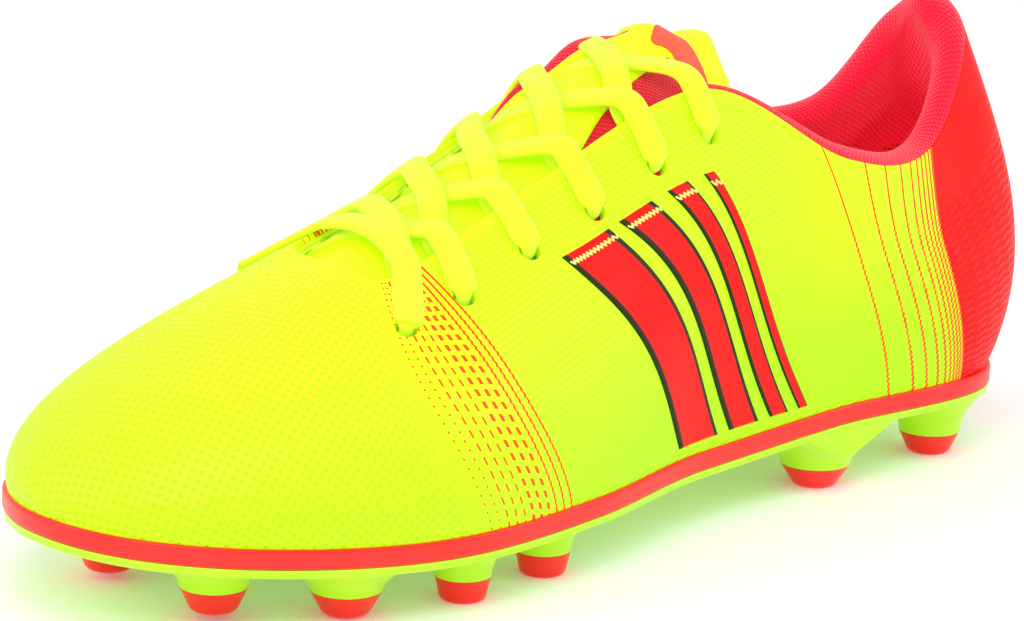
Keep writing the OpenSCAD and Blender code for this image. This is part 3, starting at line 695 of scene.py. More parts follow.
# %% The punches
around = np.linspace(0, math.tau, 32, endpoint=False)
punch_points, punch_faces = [], []
for u, more in EYELETS + [[RIB_COUNT - u, more] for u, more in EYELETS]:
    v = eyelet_v(np.array(u), more)
    centre, n = at(u, v, UPPER_DEPTH / 2), normal(u, v)
    a = unit(np.cross(n, [0, 0, 1.0]))
    b = np.cross(n, a)
    ring = (np.cos(around)[:, None] * a + np.sin(around)[:, None] * b) * EYELET_D / 2
    base_index = sum(len(p) for p in punch_points)
    punch_points.append(np.concatenate([centre - n * 5 + ring, centre + n * 5 + ring,
                                        [centre - n * 5, centre + n * 5]]))
    k = np.arange(32)
    tube = np.stack([k, (k + 1) % 32, (k + 1) % 32 + 32, k + 32], -1) + base_index
    low_cap = np.stack([(k + 1) % 32, k, np.full(32, 64)], -1) + base_index
    high_cap = np.stack([k + 32, (k + 1) % 32 + 32, np.full(32, 65)], -1) + base_index
    punch_faces += tube.tolist() + low_cap.tolist() + high_cap.tolist()
punches = bpy.data.objects.new("punches", bpy.data.meshes.new("punches"))
punches.data.from_pydata((np.concatenate(punch_points) - CENTRE) / 1000, [], punch_faces)
bpy.context.scene.collection.objects.link(punches)


def punch(piece):
    """Cuts the eyelets out of a layer and keeps the result."""
    cutting = piece.modifiers.new("eyelets", "BOOLEAN")
    cutting.object, cutting.operation, cutting.solver = punches, "DIFFERENCE", "EXACT"
    return fix_modifiers(piece)


# %% [markdown]
# The skin is cut in four: a vamp over the toes, two quarters and a red heel panel. The zone field says where
# the dimples, the ribs and the smooth patches are, and how much the sides are painted greener as painted
# shade.

# %% Vamp, quarters and heel panel
VAMP_SIDE, COLLAR_FRONT, STAY_LOW, COLLAR_LOW = 2.75, 5, 0.7, 0.6


def skin_zones(u, v):
    """Shares of dimples, ribs and painted shade: dimples in front of the fan of lines, ribs behind it, both
    fading out at the top edge, and an oval smooth patch below the collar. The third share paints the sides
    greener behind rib 3 from the toe, as painted shade."""
    number = front_number(u, v)
    patch = smooth(1.6 - np.hypot((own_side(u) - 5.95) / 0.42, (v - 0.95) / 0.42))
    edge = smooth((1 - v) / 0.06)
    return np.stack([smooth((1.0 - number) / 5) * edge, smooth((number - 8) / 3) * (1 - patch) * edge,
                     smooth((own_side(u) - 3) / 2.5)], -1)


def heel_zones(u, v):
    """The heel panel is textured below a slanting line and smooth above it. The troughs of the texture are
    painted darker there, as painted shade.
    """
    return np.stack([smooth((0.80 - 0.03 * (own_side(u) - 7) - v) / 0.05), 0 * v, 0 * v], -1)


skin_fields = {"zone": skin_zones,
               "front_lines": lambda u, v: line_field(front_number, u, v),
               "heel_lines": lambda u, v: line_field(heel_number, u, v)}
vamp = layer("vamp_skin", -VAMP_SIDE, VAMP_SIDE, 190, 0, 1, 74, 0, SKIN_T, 0.5)
quarter_outer = layer("quarter_outer_skin", VAMP_SIDE, heel_line, 150, 0, 1, 74, 0, SKIN_T, 0.5)
quarter_inner = layer("quarter_inner_skin", lambda v: RIB_COUNT - heel_line(v), RIB_COUNT - VAMP_SIDE,
                      150, 0, 1, 74, 0, SKIN_T, 0.5)
heel_panel = layer("heel_panel_skin", heel_line, lambda v: RIB_COUNT - heel_line(v),
                   120, 0, 1, 74, 0, SKIN_T, 0.5)
for piece in (vamp, quarter_outer, quarter_inner):
    write_fields(punch(piece), skin_fields)
write_fields(heel_panel, {"zone": heel_zones})
finish_piece(vamp, yellow, "yellow_synthetic", "vamp")
finish_piece(quarter_outer, yellow, "yellow_synthetic", "quarter_outer")
finish_piece(quarter_inner, yellow, "yellow_synthetic", "quarter_inner")
finish_piece(heel_panel, red_leather, "red_synthetic", "heel_panel")

# %% [markdown]
# ## Linings and the stay
# The lining is a pale yellow textile in front and red mesh at the heel. The stay is a yellow
# strip behind the eyelets that shows at the edge of the throat and inside the punched holes.

# %% Textile materials
def knitted(name, thread, shade, pitch, glow=0.0, roughness=0.85):
    """A knitted mesh: threads in one colour, small holes painted in a darker one as painted shade."""
    material, tree, shader = new_material(name, roughness=roughness, glow=glow, sheen=0.35, specular=0.2)
    where = add(tree, "UVMap", uv_map="flat").outputs[0]
    loops = use(tree, knit, Vector=where, Pitch=pitch)
    speckle = use(tree, grain, Vector=where, Size=0.25)
    # Painted shade: the holes between the threads are painted darker.
    base = blend_colours(tree, loops["Holes"], thread, shade)
    rise = sums(tree, "MULTIPLY_ADD", speckle["Height"], 0.3, loops["Height"])
    paint(tree, shader, base, rise, 0.6, 0.0005)
    return material


pink_mesh = knitted("pink mesh", MESH_PINK, MESH_SHADE, 1.3, glow=0.30)
red_mesh = knitted("red lining mesh", colour(236, 24, 40), colour(150, 0, 8), 1.2, glow=0.25)
pale_lining = knitted("pale lining", colour(222, 244, 60), colour(186, 220, 30), 0.9, glow=0.08)

# %% Stay and linings
plain_yellow, tree, shader = new_material("plain yellow", roughness=0.5, glow=0.12, specular=0.3)
where = add(tree, "UVMap", uv_map="flat").outputs[0]
speckle = use(tree, grain, Vector=where, Size=0.4)
paint(tree, shader, blend_colours(tree, speckle["Patches"], colour(226, 250, 40), colour(206, 240, 20)),
      speckle["Height"], 0.2, 0.0002)
stay = punch(layer("eyelet_stay", -COLLAR_FRONT, COLLAR_FRONT, 200, STAY_LOW, 1, 14,
                   BACKING_DEPTH, BACKING_T, 0.3))
front_lining = punch(layer("front_lining", -COLLAR_FRONT, COLLAR_FRONT, 200, 0, 1, 40,
                           LINING_DEPTH, LINING_T, 0.3))
heel_lining = layer("heel_lining_mesh", COLLAR_FRONT, RIB_COUNT - COLLAR_FRONT, 140, 0, COLLAR_LOW, 24,
                    LINING_DEPTH, LINING_T)
finish_piece(stay, plain_yellow, "stiffener", "eyestay")
finish_piece(front_lining, pale_lining, "lining_textile", "vamp_lining")
finish_piece(heel_lining, red_mesh, "red_mesh", "heel_lining")
bpy.data.objects.remove(punches)

# %% [markdown]
# ## The padded collar
# The collar lining starts at the edge of the skin, rolls over the foam and goes down inside to
# the heel lining. The roll is a half circle in each rib, as thick as the foam. It is padded in
# code, not by a cloth simulation, because it has to end exactly on the edge of the skin.

# %% Collar
COLLAR_FOAM_T = 5


def foam_t(u, v):
    """Thickness of the collar foam: it grows above the counter and fades out at the front ends."""
    ends = smooth((u - COLLAR_FRONT) / 0.75) * smooth((RIB_COUNT - COLLAR_FRONT - u) / 0.75)
    plump = 2.6 * smooth((2.9 - np.abs(u - RIB_COUNT / 2)) / 2.2)
    return BACKING_T + (COLLAR_FOAM_T + plump - BACKING_T) * ends * smooth((v - COLLAR_LOW) / 0.25)


def collar_grid(thick):
    """Rows down the inside from v 0.6 to 1, then over the roll to the edge of the skin."""
    u = np.linspace(COLLAR_FRONT, RIB_COUNT - COLLAR_FRONT, 220)[:, None]
    v = np.linspace(COLLAR_LOW, 1, 26)[None]
    inside = at(u, v, BACKING_DEPTH + foam_t(u, v) + GAP + thick)
    angle = np.radians(np.linspace(172, 0, 22))[None, :, None]
    r = (SKIN_T + foam_t(u, 1) + LINING_T + 2 * GAP) / 2
    middle = at(u, 1, r) + up_way(u, 1) * GAP
    reach = (r - LINING_T + thick)[..., None]
    roll = middle + (normal(u, 1) * np.cos(angle) + up_way(u, 1) * np.sin(angle)) * reach
    return np.concatenate([inside, roll], 1)


facing_in, facing_foam = collar_grid(LINING_T), collar_grid(0)
collar_points, collar_faces = shell(facing_foam, facing_in)
collar_steps = np.linalg.norm(np.diff(facing_in[:, -12], axis=0), axis=-1)
along_collar = np.concatenate([[0], collar_steps.cumsum()])
down_collar = np.concatenate([[0], np.linalg.norm(np.diff(facing_in[110], axis=0), axis=-1).cumsum()])
collar_uv = np.stack(np.meshgrid(along_collar, down_collar, indexing="ij"), -1)
collar = new_piece("collar_mesh", collar_points, collar_faces, both(collar_uv))
finish_piece(collar, pink_mesh, "red_mesh", "collar_lining")

# %% [markdown]
# ## The sole
# The sole is a moulded lime plate with twelve flared studs, a red rim round it and red hard tips
# on the studs. A profile carried round the outline makes the rim and the edge of the plate, and
# each stud is a turned surface that is cut back where it would stand out of the plate.

# %% Moulded plastics
def moulded(name, tone, shade, roughness, glow):
    """Injection-moulded plastic: an even colour with faint clouds and a fine spark-eroded grain."""
    material, tree, shader = new_material(name, roughness=roughness, glow=glow, coat=0.15)
    place = add(tree, "VectorMath", {0: add(tree, "TexCoord").outputs["Object"], "Scale": 1000.0},
                operation="SCALE").outputs[0]
    speckle = use(tree, grain, Vector=place, Size=0.35)
    coarse = use(tree, grain, Vector=place, Size=1.2)
    base = blend_colours(tree, ramp(tree, coarse["Patches"], 0.3, 0.75), tone, shade)
    paint(tree, shader, base, speckle["Height"], 0.10, 0.0002,
          sums(tree, "MULTIPLY_ADD", coarse["Patches"], 0.16, roughness - 0.08))
    return material


lime_plastic = moulded("lime plastic", PLATE_LIME, colour(176, 236, 4), 0.34, 0.12)
red_plastic = moulded("red plastic", colour(255, 26, 10), colour(244, 14, 6), 0.40, 0.10)

# %% Rim
PLATE_EDGE_R = 0.6
PLATE_OUT = RIM_OUT - 0.9
loop_u = np.linspace(0, RIB_COUNT, 540, endpoint=False)
quarter_turn = np.radians(np.linspace(0, 90, 5))
corner_r = 0.7
RIM_SHOWN = RIM_OUT - 0.6
corner_in = RIM_SHOWN - corner_r
profile = np.concatenate([
    [[-0.1, -RIM_H], [-0.1, -0.35], [-0.05, -0.12], [0.1, 0]],
    np.stack([corner_in + corner_r * np.sin(quarter_turn), -corner_r + corner_r * np.cos(quarter_turn)], 1),
    np.stack([corner_in + corner_r * np.cos(quarter_turn),
              corner_r - RIM_H - corner_r * np.sin(quarter_turn)], 1)])


def sweep_round(profile):
    """Carries a profile of (out, up) pairs round the outline of the sole."""
    u = loop_u[:, None]
    edge = outline(u, profile[None, :, 0] + 0 * u)
    edge[..., 2] += profile[None, :, 1]
    return edge


rim_grid = sweep_round(profile)
rim = new_piece("rim_band", rim_grid.reshape(-1, 3),
                grid_faces(*rim_grid.shape[:2], round_rows=True, round_columns=True)[:, ::-1], crease=35)
finish_piece(rim, red_plastic, "red_plastic", "sole_rim")

# %% Studs: place on the sole, diameter of the hard tip at its top, and diameter of the flare
STUDS = {
    "outer_front": (237, 14, 15, 32), "outer_second": (213, 29, 16, 38),
    "outer_third": (186, 36, 12.5, 21), "outer_fourth": (160, 33, 12.5, 21),
    "outer_heel_front": (62, 21, 17, 42), "outer_heel_back": (19, 18, 15, 27),
    "inner_front": (238, -22, 15, 32), "inner_second": (213, -35, 16, 38),
    "inner_third": (186, -36, 12.5, 21), "inner_fourth": (160, -28, 12.5, 21),
    "inner_heel_front": (62, -17, 17, 42), "inner_heel_back": (20, -17, 15, 27)}
TIP_H, STUD_FOOT_D = 5.5, 10
stud_turn = np.linspace(0, math.tau, 72, endpoint=False)


def room_for(x, y, angle):
    """How far a level ray from (x, y) goes before it meets the edge of the plate."""
    edge = outline(np.linspace(0, RIB_COUNT, 721), PLATE_OUT)[:, :2] - [x, y]
    a, b = edge[:-1], edge[1:]
    ray = np.stack([np.cos(angle), np.sin(angle)], 1)[:, None]
    step = (b - a)[None]
    cross = ray[..., 0] * step[..., 1] - ray[..., 1] * step[..., 0]
    along = (a[None, :, 0] * step[..., 1] - a[None, :, 1] * step[..., 0]) / cross
    where = (a[None, :, 0] * ray[..., 1] - a[None, :, 1] * ray[..., 0]) / cross
    along[(where < 0) | (where > 1) | (along < 0)] = np.inf
    return along.min(1)


def stud_level(x):
    """Toe spring lifts the studs in front of the ball by as much as it lifts the rim."""
    return max(0.0, float(rim_z(x)) - RIM_LEVEL) if x > BALL_X else 0.0


def turned_grid(x, y, z, radii, heights, limit=None):
    """A surface of revolution about a stud's axis, cut back to the limit in each direction."""
    r = radii[None] + 0 * stud_turn[:, None]
    if limit is not None:
        r = np.minimum(r, limit[:, None])
    return np.stack([x + r * np.cos(stud_turn)[:, None], y + r * np.sin(stud_turn)[:, None],
                     z + heights[None] + 0 * r], -1)


def closed_turn(grid):
    """Points and faces of a turned grid with a point at the middle of each end."""
    n, m = grid.shape[:2]
    ends = np.stack([grid[:, 0].mean(0), grid[:, -1].mean(0)])
    k = np.arange(n)
    after = (k + 1) % n
    faces = grid_faces(n, m, round_rows=True).tolist()
    faces += np.stack([k * m, np.full(n, n * m), after * m], -1).tolist()
    faces += np.stack([k * m + m - 1, after * m + m - 1, np.full(n, n * m + 1)], -1).tolist()
    return np.concatenate([grid.reshape(-1, 3), ends]), faces


tip_r, tip_turn = 1.0, np.radians(np.linspace(0, 90, 6))
flare_t = np.linspace(0, 1, 26)
flare_pieces = []
for name, (x, y, tip_d, flare_d) in STUDS.items():
    level = stud_level(x)
    slope = (tip_d - STUD_FOOT_D) / 2 / TIP_H
    round_foot = (STUD_FOOT_D / 2 - tip_r + tip_r * np.sin(tip_turn)
                  + slope * tip_r * (1 - np.cos(tip_turn)))
    radii = np.concatenate([round_foot,
                            np.linspace(STUD_FOOT_D / 2 + slope * 1.6, tip_d / 2, 6)])
    heights = np.concatenate([tip_r * (1 - np.cos(tip_turn)), np.linspace(1.6, TIP_H - 0.05, 6)])
    points, faces = closed_turn(turned_grid(x, y, level, radii, heights))
    tip = new_piece("stud_tip_" + name, points, faces, crease=50)
    finish_piece(tip, red_plastic, "red_plastic", "tip_" + name)
    top_z = float(rim_z(x)) - RIM_H - PLATE_T * 0.4 - level
    limit = room_for(x, y, stud_turn) - 0.02
    radii = tip_d / 2 + (flare_d - tip_d) / 2 * flare_t ** 1.7
    points, faces = closed_turn(turned_grid(x, y, level, radii, mix(TIP_H, top_z, flare_t), limit))
    flare_pieces.append((points, faces))

# %% [markdown]
# The underside of the plate is a net of rings that shrink from the edge onto the middle line of
# the foot. It is hollowed a little inside the edge, and low ribs stiffen the arch.


# %% Plate
def middle_line(x):
    """The middle of the sole at x: half way between the two sides of the outline, kept off the ends."""
    x = np.clip(x, 26, 244)
    return np.stack([x, np.interp(x, [26, 70, 110, 155, 200, 244], [1, 0, 1.5, 4, 1, -5]), 0 * x], -1)


def plate_grid(level, rings, corner_out, detail):
    """Rings from the outline to the middle line, at a level below the rim, with a relief on it."""
    t = rings[None, :, None]
    edge = outline(loop_u, corner_out)[:, None]
    core = middle_line(edge[..., 0])
    points = edge * (1 - t) + core * t
    inward = np.linalg.norm((points - edge)[..., :2], axis=-1)
    points[..., 2] = rim_z(points[..., 0]) + level + detail(points, inward)
    return points


def arch_relief(points, inward):
    """A shallow recess inside the edge, with seven low ribs along the arch."""
    x, y = points[..., 0], points[..., 1]
    recess = 0.6 * smooth((inward - 5) / 1.5)
    arch = smooth((x - 78) / 8) * smooth((146 - x) / 8)
    ribs = np.maximum(0, np.cos((y - middle_line(x)[..., 1]) / 7.0 * math.tau)) ** 2
    return recess * (1 - arch * ribs)


rings = np.concatenate([np.linspace(0, 0.24, 12)[:-1], np.linspace(0.24, 1, 34)])
below = plate_grid(-RIM_H - PLATE_T, rings, PLATE_OUT - PLATE_EDGE_R, arch_relief)
above = plate_grid(-RIM_H - 0.06, rings[::4], PLATE_OUT, lambda points, inward: 0 * inward)
edge_turn = np.radians(np.linspace(0, 75, 4))
bottom_corner = np.stack([PLATE_OUT - PLATE_EDGE_R + PLATE_EDGE_R * np.cos(edge_turn),
                          -RIM_H - PLATE_T + PLATE_EDGE_R - PLATE_EDGE_R * np.sin(edge_turn)], 1)
side_wall = sweep_round(bottom_corner)
plate_rows = np.concatenate([above[:, ::-1], side_wall, below], 1)
points = plate_rows.reshape(-1, 3)
faces = grid_faces(*plate_rows.shape[:2], round_rows=True).tolist()
start = len(points)
for stud_points, stud_faces in flare_pieces:
    faces += [[i + start for i in face] for face in stud_faces]
    points = np.concatenate([points, stud_points])
    start = len(points)
plate = new_piece("studded_plate", points, faces, crease=35)
finish_piece(plate, lime_plastic, "lime_plastic", "outsole_plate")

# %% [markdown]
# The sockliner is seen through the collar. Its edge turns up against the lining.

# %% Sockliner
BOARD_DEPTH, SOCK_TOP = UPPER_DEPTH + 0.2, SEAT_GAP + 1.6 + GAP + 3 + GAP + 0.7 - RIM_H
liner_rings = np.linspace(0, 1, 22)


def liner_cup(points, inward):
    """Highest at the edge, dished in the middle by half a millimetre."""
    return 0.5 * smooth(1 - inward / 9) - 0.5


liner_top = plate_grid(SOCK_TOP, liner_rings, -BOARD_DEPTH, liner_cup)
liner_low = plate_grid(SOCK_TOP - 0.7, liner_rings[::3], -BOARD_DEPTH, lambda points, inward: 0 * inward)
liner_rows = np.concatenate([liner_low[:, ::-1], liner_top], 1)[::-1]
liner_uv = liner_rows[..., :2].reshape(-1, 2)
liner = new_piece("sockliner_top", liner_rows.reshape(-1, 3),
                  grid_faces(*liner_rows.shape[:2], round_rows=True), liner_uv)
finish_piece(liner, red_mesh, "red_mesh", "sockliner_cover")

# %% [markdown]
# ## The throat
# The tongue and the lace lie over the gap between the two facings. They are placed on a surface
# that carries on from one facing to the other: q runs from 0 to 1 up the outer facing, from 1
# to 2 over the gap, and from 2 to 3 down the inner facing.

# %% A surface over the throat
THROAT_LOW, BRIDGE_PULL = 0.7, 0.4


def throat_skin(u, q):
    """The outer facing up to q 1, a cubic Bezier curve across to q 2, then the inner facing."""
    u, q = np.broadcast_arrays(np.asarray(u, float), np.asarray(q, float))
    a, b = ribs_at(u), ribs_at(RIB_COUNT - u)
    t = np.clip(q - 1, 0, 1)[..., None]
    first, last = a[..., 3, :], b[..., 3, :]
    first_pull = first + (first - a[..., 2, :]) * BRIDGE_PULL
    last_pull = last + (last - b[..., 2, :]) * BRIDGE_PULL
    over = (first * (1 - t) ** 3 + first_pull * 3 * t * (1 - t) ** 2
            + last_pull * 3 * t ** 2 * (1 - t) + last * t ** 3)
    outer = skin(u, mix(THROAT_LOW, 1, np.clip(q, None, 1)))
    inner = skin(RIB_COUNT - u, mix(1, THROAT_LOW, np.clip(q, 2, None) - 2))
    return np.where(q[..., None] < 1, outer, np.where(q[..., None] > 2, inner, over))


def heelward(u, q):
    """The way that the throat runs, from the toe to the heel."""
    return throat_skin(np.asarray(u) + STEP, q) - throat_skin(np.asarray(u) - STEP, q)


def throat_up(u, q):
    """The direction straight up from the throat."""
    q = np.asarray(q, float)
    return unit(np.cross(heelward(u, q), throat_skin(u, q + STEP) - throat_skin(u, q - STEP)))


def throat(u, q, lift):
    """A point at a height above the surface over the throat."""
    u, q, lift = np.broadcast_arrays(np.asarray(u, float), np.asarray(q, float), np.asarray(lift, float))
    return throat_skin(u, q) + throat_up(u, q) * lift[..., None]

# %% [markdown]
# ## The lace
# The lace is one flat band, 0.97 m long with its tags. It isn't a free cord: it goes in and out
# of six pairs of eyelets and is held all the way. It could be drawn as a Blender curve with a
# bevel, but a flat band has to know which way is up, so each ring of the band is worked out
# from its place on the throat.

# %% The route of the lace
LACE_W, LACE_T = 6.6, 1.3
LAST_EYELET = len(EYELETS) - 1
LACE_IN, LACE_OUT = -UPPER_DEPTH - LACE_T / 2 - 0.2, LACE_T / 2 + 0.25
HOLE_W, HOLE_T = EYELET_D * 0.64, EYELET_D * 0.34
BEND_R, BEND_MID, LAST_BEND = (LACE_OUT - LACE_IN) / 2, (LACE_OUT + LACE_IN) / 2, 2.6
BEND = [[90, 0], [54, 0.6], [18, 1], [-18, 1], [-54, 0.6], [-90, 0]]
CROSSING = [[1.15, 0], [1.3, 0.2], [1.4, 0.35], [1.5, 0.5], [1.62, 0.65], [1.8, 0.9], [1.9, 1]]
OVER_LIFT = [-1.9, 0.3, 0.6, 0.55, 0.6, 0.9, LACE_OUT]
UNDER_LIFT = [-3.1, -2.3, -1.9, -1.6, -1.2, 0.2, 0.8]
TAIL = [[0.02, 0.12, 0], [0.08, -0.1, -0.1], [0.2, -0.28, -0.35], [0.35, -0.38, -0.5],
        [0.52, -0.4, -0.5], [0.7, -0.4, -0.5], [0.88, -0.4, -0.5], [1.05, -0.4, -0.5]]


def side_u(side, u):
    return u if side > 0 else RIB_COUNT - u


def side_q(side, q):
    return q if side > 0 else 3 - q


def eyelet_q(side, k):
    u, more = EYELETS[k]
    return (float(eyelet_v(side_u(side, u), more)) - THROAT_LOW) / (1 - THROAT_LOW)


def flat_point(side, u, q, lift):
    """One point of the route: rib, place across, lift, width, thickness, turn."""
    return [u, side_q(side, q), lift, LACE_W, LACE_T, 0]


def through(side, k):
    """Down through one eyelet: half a circle seen from the toe, or an S at the last one."""
    c = ribs_at(side_u(side, EYELETS[k][0]))
    per_mm = 1 / (3 * float(np.linalg.norm(c[3] - c[2])) * (1 - THROAT_LOW))
    points = []
    for angle, share in BEND:
        round_run = BEND_R * (1 - math.cos(math.radians(angle)))
        run = LAST_BEND * angle / 90 if k == LAST_EYELET else round_run
        points.append([EYELETS[k][0], side_q(side, eyelet_q(side, k) + per_mm * run),
                       BEND_MID + BEND_R * math.sin(math.radians(angle)),
                       mix(LACE_W, HOLE_W, share), mix(LACE_T, HOLE_T, share), 0])
    return points


def leg(side, k):
    """From the inside of one eyelet to the outside of the next one on the other side."""
    start, stop = EYELETS[k][0], EYELETS[k + 1][0]
    lifts = OVER_LIFT if side > 0 else UNDER_LIFT
    return ([flat_point(side, start, q, LACE_IN) for q in (0.8, 1)]
            + [flat_point(side, mix(start, stop, c[1]), c[0], lift) for c, lift in zip(CROSSING, lifts)]
            + [flat_point(side, stop, q, LACE_OUT) for q in (2.02, 2.2)]
            + through(-side, k + 1))


def strand(side):
    """One half of the lace, from the middle of the first bar to its free end inside the boot."""
    points = [flat_point(side, EYELETS[0][0], q, LACE_OUT) for q in (1.3, 1.12, 0.98)] + through(side, 0)
    for k in range(LAST_EYELET):
        points += leg(side if k % 2 == 0 else -side, k)
    end = side if LAST_EYELET % 2 == 0 else -side
    return points + [[EYELETS[LAST_EYELET][0] - t[0], side_q(end, t[1]), LACE_IN + t[2], LACE_W, LACE_T, end]
                     for t in TAIL]


ROUTE = np.array(strand(-1)[::-1] + [flat_point(1, EYELETS[0][0], 1.5, LACE_OUT)] + strand(1), float)
route_points = throat(ROUTE[:, 0], ROUTE[:, 1], ROUTE[:, 2])
knots = np.arange(len(ROUTE))
way = unit(route_points[np.minimum(knots + 1, knots[-1])] - route_points[np.maximum(knots - 1, 0)])
turn = np.where(knots < len(ROUTE) / 2, -1, 1) * ROUTE[:, 5]
level = np.where(ROUTE[:, 5:6] == 0, heelward(ROUTE[:, 0], ROUTE[:, 1]),
                 np.cross(way, throat_up(ROUTE[:, 0], ROUTE[:, 1])) * turn[:, None])
across = unit(level - way * (level * way).sum(1, keepdims=True))
lace_length = np.linalg.norm(np.diff(route_points, axis=0), axis=1).sum()
print("lace:", len(ROUTE), "points,", round(float(lace_length)), "mm")

# %% [markdown]
# ## The tongue
# The tongue is a padded strip of mesh with a yellow overlay down its middle, and a rounded top that folds.
# One grid covers it from its stitched front end to the tip: the front lies under the throat, and the top is a
# free flap. It is pushed up between the last lace crossings on the inner side, and droops at the outer side
# of the flap.

# %% Places on the tongue
TONGUE_T, FLAP_LENGTH, FLAP_HALF, FLAP_DROP, FOLD_GAP = 4, 20, 16, 5, 0.8
TONGUE_ROOM, TONGUE_SWELL, TONGUE_START = UPPER_DEPTH + LACE_T + 0.7, 2.4, 1.75
FLAP_WAY = unit(np.array([-0.98, 0, 0.19]))
FLAP_UP = np.cross(FLAP_WAY, [0, -1, 0])
FRONT_WAY = unit(np.array([0.93, 0, -0.36]))
FRONT_ROWS, THROAT_ROWS, FLAP_ROWS = 8, 70, 30
FRONT_LENGTH, THROAT_END, FLAP_DROOP = 14, 4.93, 7.0
HUMPS, HUMP_ROWS = ((8.0, 4.5), (7.0, 11.5)), 3.6


def swell(q):
    """The tongue bulges up in the gap between the facings: sine squared across it."""
    return TONGUE_SWELL * np.where((q > 1) & (q < 2), np.sin(np.pi * (q - 1)) ** 2, 0)


FOLD = throat(5, 1.5, TONGUE_SWELL - TONGUE_ROOM - TONGUE_T)


def tongue(a, lift):
    """Rows from the front end to the tip. a runs from -1 to 1 across, lift is above the underside."""
    def in_throat(u, a, drop=0.0):
        half = mix(1.4, 0.46, smooth((u - 3.9) / 1.1))
        q = 1.5 + half * a
        return throat(u, q, swell(q) - TONGUE_ROOM - TONGUE_T + lift - drop)
    ahead = np.linspace(1, 0, FRONT_ROWS, endpoint=False)[:, None]
    front = (in_throat(TONGUE_START + 0 * ahead, a * (1 - 0.4 * ahead), 2.6 * ahead ** 1.3)
             + FRONT_WAY * FRONT_LENGTH * ahead[..., None])
    middle = in_throat(np.linspace(TONGUE_START, THROAT_END, THROAT_ROWS)[:, None],
                       a + np.zeros((THROAT_ROWS, 1)))
    s = np.linspace(0.05, 1, FLAP_ROWS)[:, None]
    width = FLAP_HALF * np.sqrt(1 - s ** 6 * 0.86)
    along = FOLD_GAP + s * FLAP_LENGTH - np.where(s > 0.5, (s - 0.5) ** 2 * 16 * a ** 2, 0)
    rise = lift * 0.875 - FLAP_DROP * a ** 2 - FLAP_DROOP * smooth((-a - 0.2) / 0.8) + 0 * along
    flap = (FOLD + FLAP_WAY * along[..., None] + FLAP_UP * rise[..., None]
            + np.stack([0 * along, -width * a, 0 * along], -1))
    rows = np.concatenate([front, middle, flap])
    join = FRONT_ROWS + THROAT_ROWS
    place = np.arange(len(rows))[:, None] - join
    far = smooth((a - 0.1) / 0.5) * (1 - 0.3 * smooth((a - 0.8) / 0.2))
    between = sum(height * np.exp(-((place + back) / HUMP_ROWS) ** 2) for height, back in HUMPS)
    behind = (np.exp(-((place - 6) / 7.0) ** 2)
              * (5.0 * smooth((a + 0.7) / 1.0) - 4.0 * smooth((-a - 0.3) / 0.7)))
    rows[..., 2] += between * far + behind
    for _ in range(14):
        calm = (rows[:-2] + 2 * rows[1:-1] + rows[2:]) / 4
        near = np.exp(-((np.arange(1, len(rows) - 1) - join) / 5.0) ** 2)[:, None, None]
        rows[1:-1] = mix(rows[1:-1], calm, near)
    return rows


TIP_ROW = FRONT_ROWS + THROAT_ROWS + FLAP_ROWS - 1
across_tongue = np.linspace(-1, 1, 61)[None]
padding_share = np.clip(1 - np.abs(across_tongue) ** 9, 0.03, 1) ** 0.45
high = tongue(across_tongue, TONGUE_T * (0.5 + 0.5 * padding_share))
low = tongue(across_tongue, TONGUE_T * (0.5 - 0.5 * padding_share))
tip_fade = np.clip(1 - (np.arange(len(high)) / TIP_ROW) ** 60, 0.03, 1)[:, None, None] ** 0.45
centre_sheet = (high + low) / 2
high, low = mix(centre_sheet, high, tip_fade), mix(centre_sheet, low, tip_fade)
along_mm = np.concatenate([[0], np.linalg.norm(np.diff(high[:, 30], axis=0), axis=-1).cumsum()])
across_mm = np.concatenate([[0], np.linalg.norm(np.diff(high[40], axis=0), axis=-1).cumsum()])
tongue_uv = np.stack(np.meshgrid(along_mm, across_mm, indexing="ij"), -1)
points, faces = shell(high, low)
tongue_zone = np.stack(np.broadcast_arrays(along_mm[:, None], across_tongue, 0.0), -1)
padding = new_piece("tongue_padding", points, faces, both(tongue_uv), {"zone": both(tongue_zone)})

# %% Tongue materials and the padding
tongue_mesh, tree, shader = new_material("tongue mesh", roughness=0.85, glow=0.08, sheen=0.35,
                                         specular=0.2)
where = add(tree, "UVMap", uv_map="flat").outputs[0]
parts = zone_of(tree)
loops = use(tree, knit, Vector=where, Pitch=1.25)
red_share = ramp(tree, parts["X"], 58.0, 60.0)
thread = blend_colours(tree, red_share, TEXTILE_GREEN, MESH_PINK)
# Painted shade: the holes of the knit are painted in these darker colours.
shade = blend_colours(tree, red_share, colour(80, 190, 70), MESH_SHADE)
paint(tree, shader, blend_colours(tree, loops["Holes"], thread, shade), loops["Height"], 0.6, 0.0005)
finish_piece(padding, tongue_mesh, "red_mesh", "tongue_body", "tongue_flap", body=None)

# %% [markdown]
# The overlay is a thin yellow synthetic. It is narrow in the throat and covers the whole tip.

# %% Overlay
rows = np.arange(len(high))
reach = mix(0.50, 0.36, smooth((rows - (FRONT_ROWS + THROAT_ROWS * 0.72)) / 10.0))[:, None]
reach = mix(reach, 1.03, smooth((rows - (TIP_ROW - 26)) / 5.0)[:, None])
over_a = np.linspace(-1, 1, 41)[None] * reach
index = (np.clip(over_a, -1, 1) + 1) / 2 * (across_tongue.size - 1)
left = np.clip(index.astype(int), 0, across_tongue.size - 2)
share = (index - left)[..., None]
row_index = rows[:, None]


def on_tongue(grid):
    """The tongue's grid read at the overlay's own places across it."""
    return mix(grid[row_index, left], grid[row_index, left + 1], share)


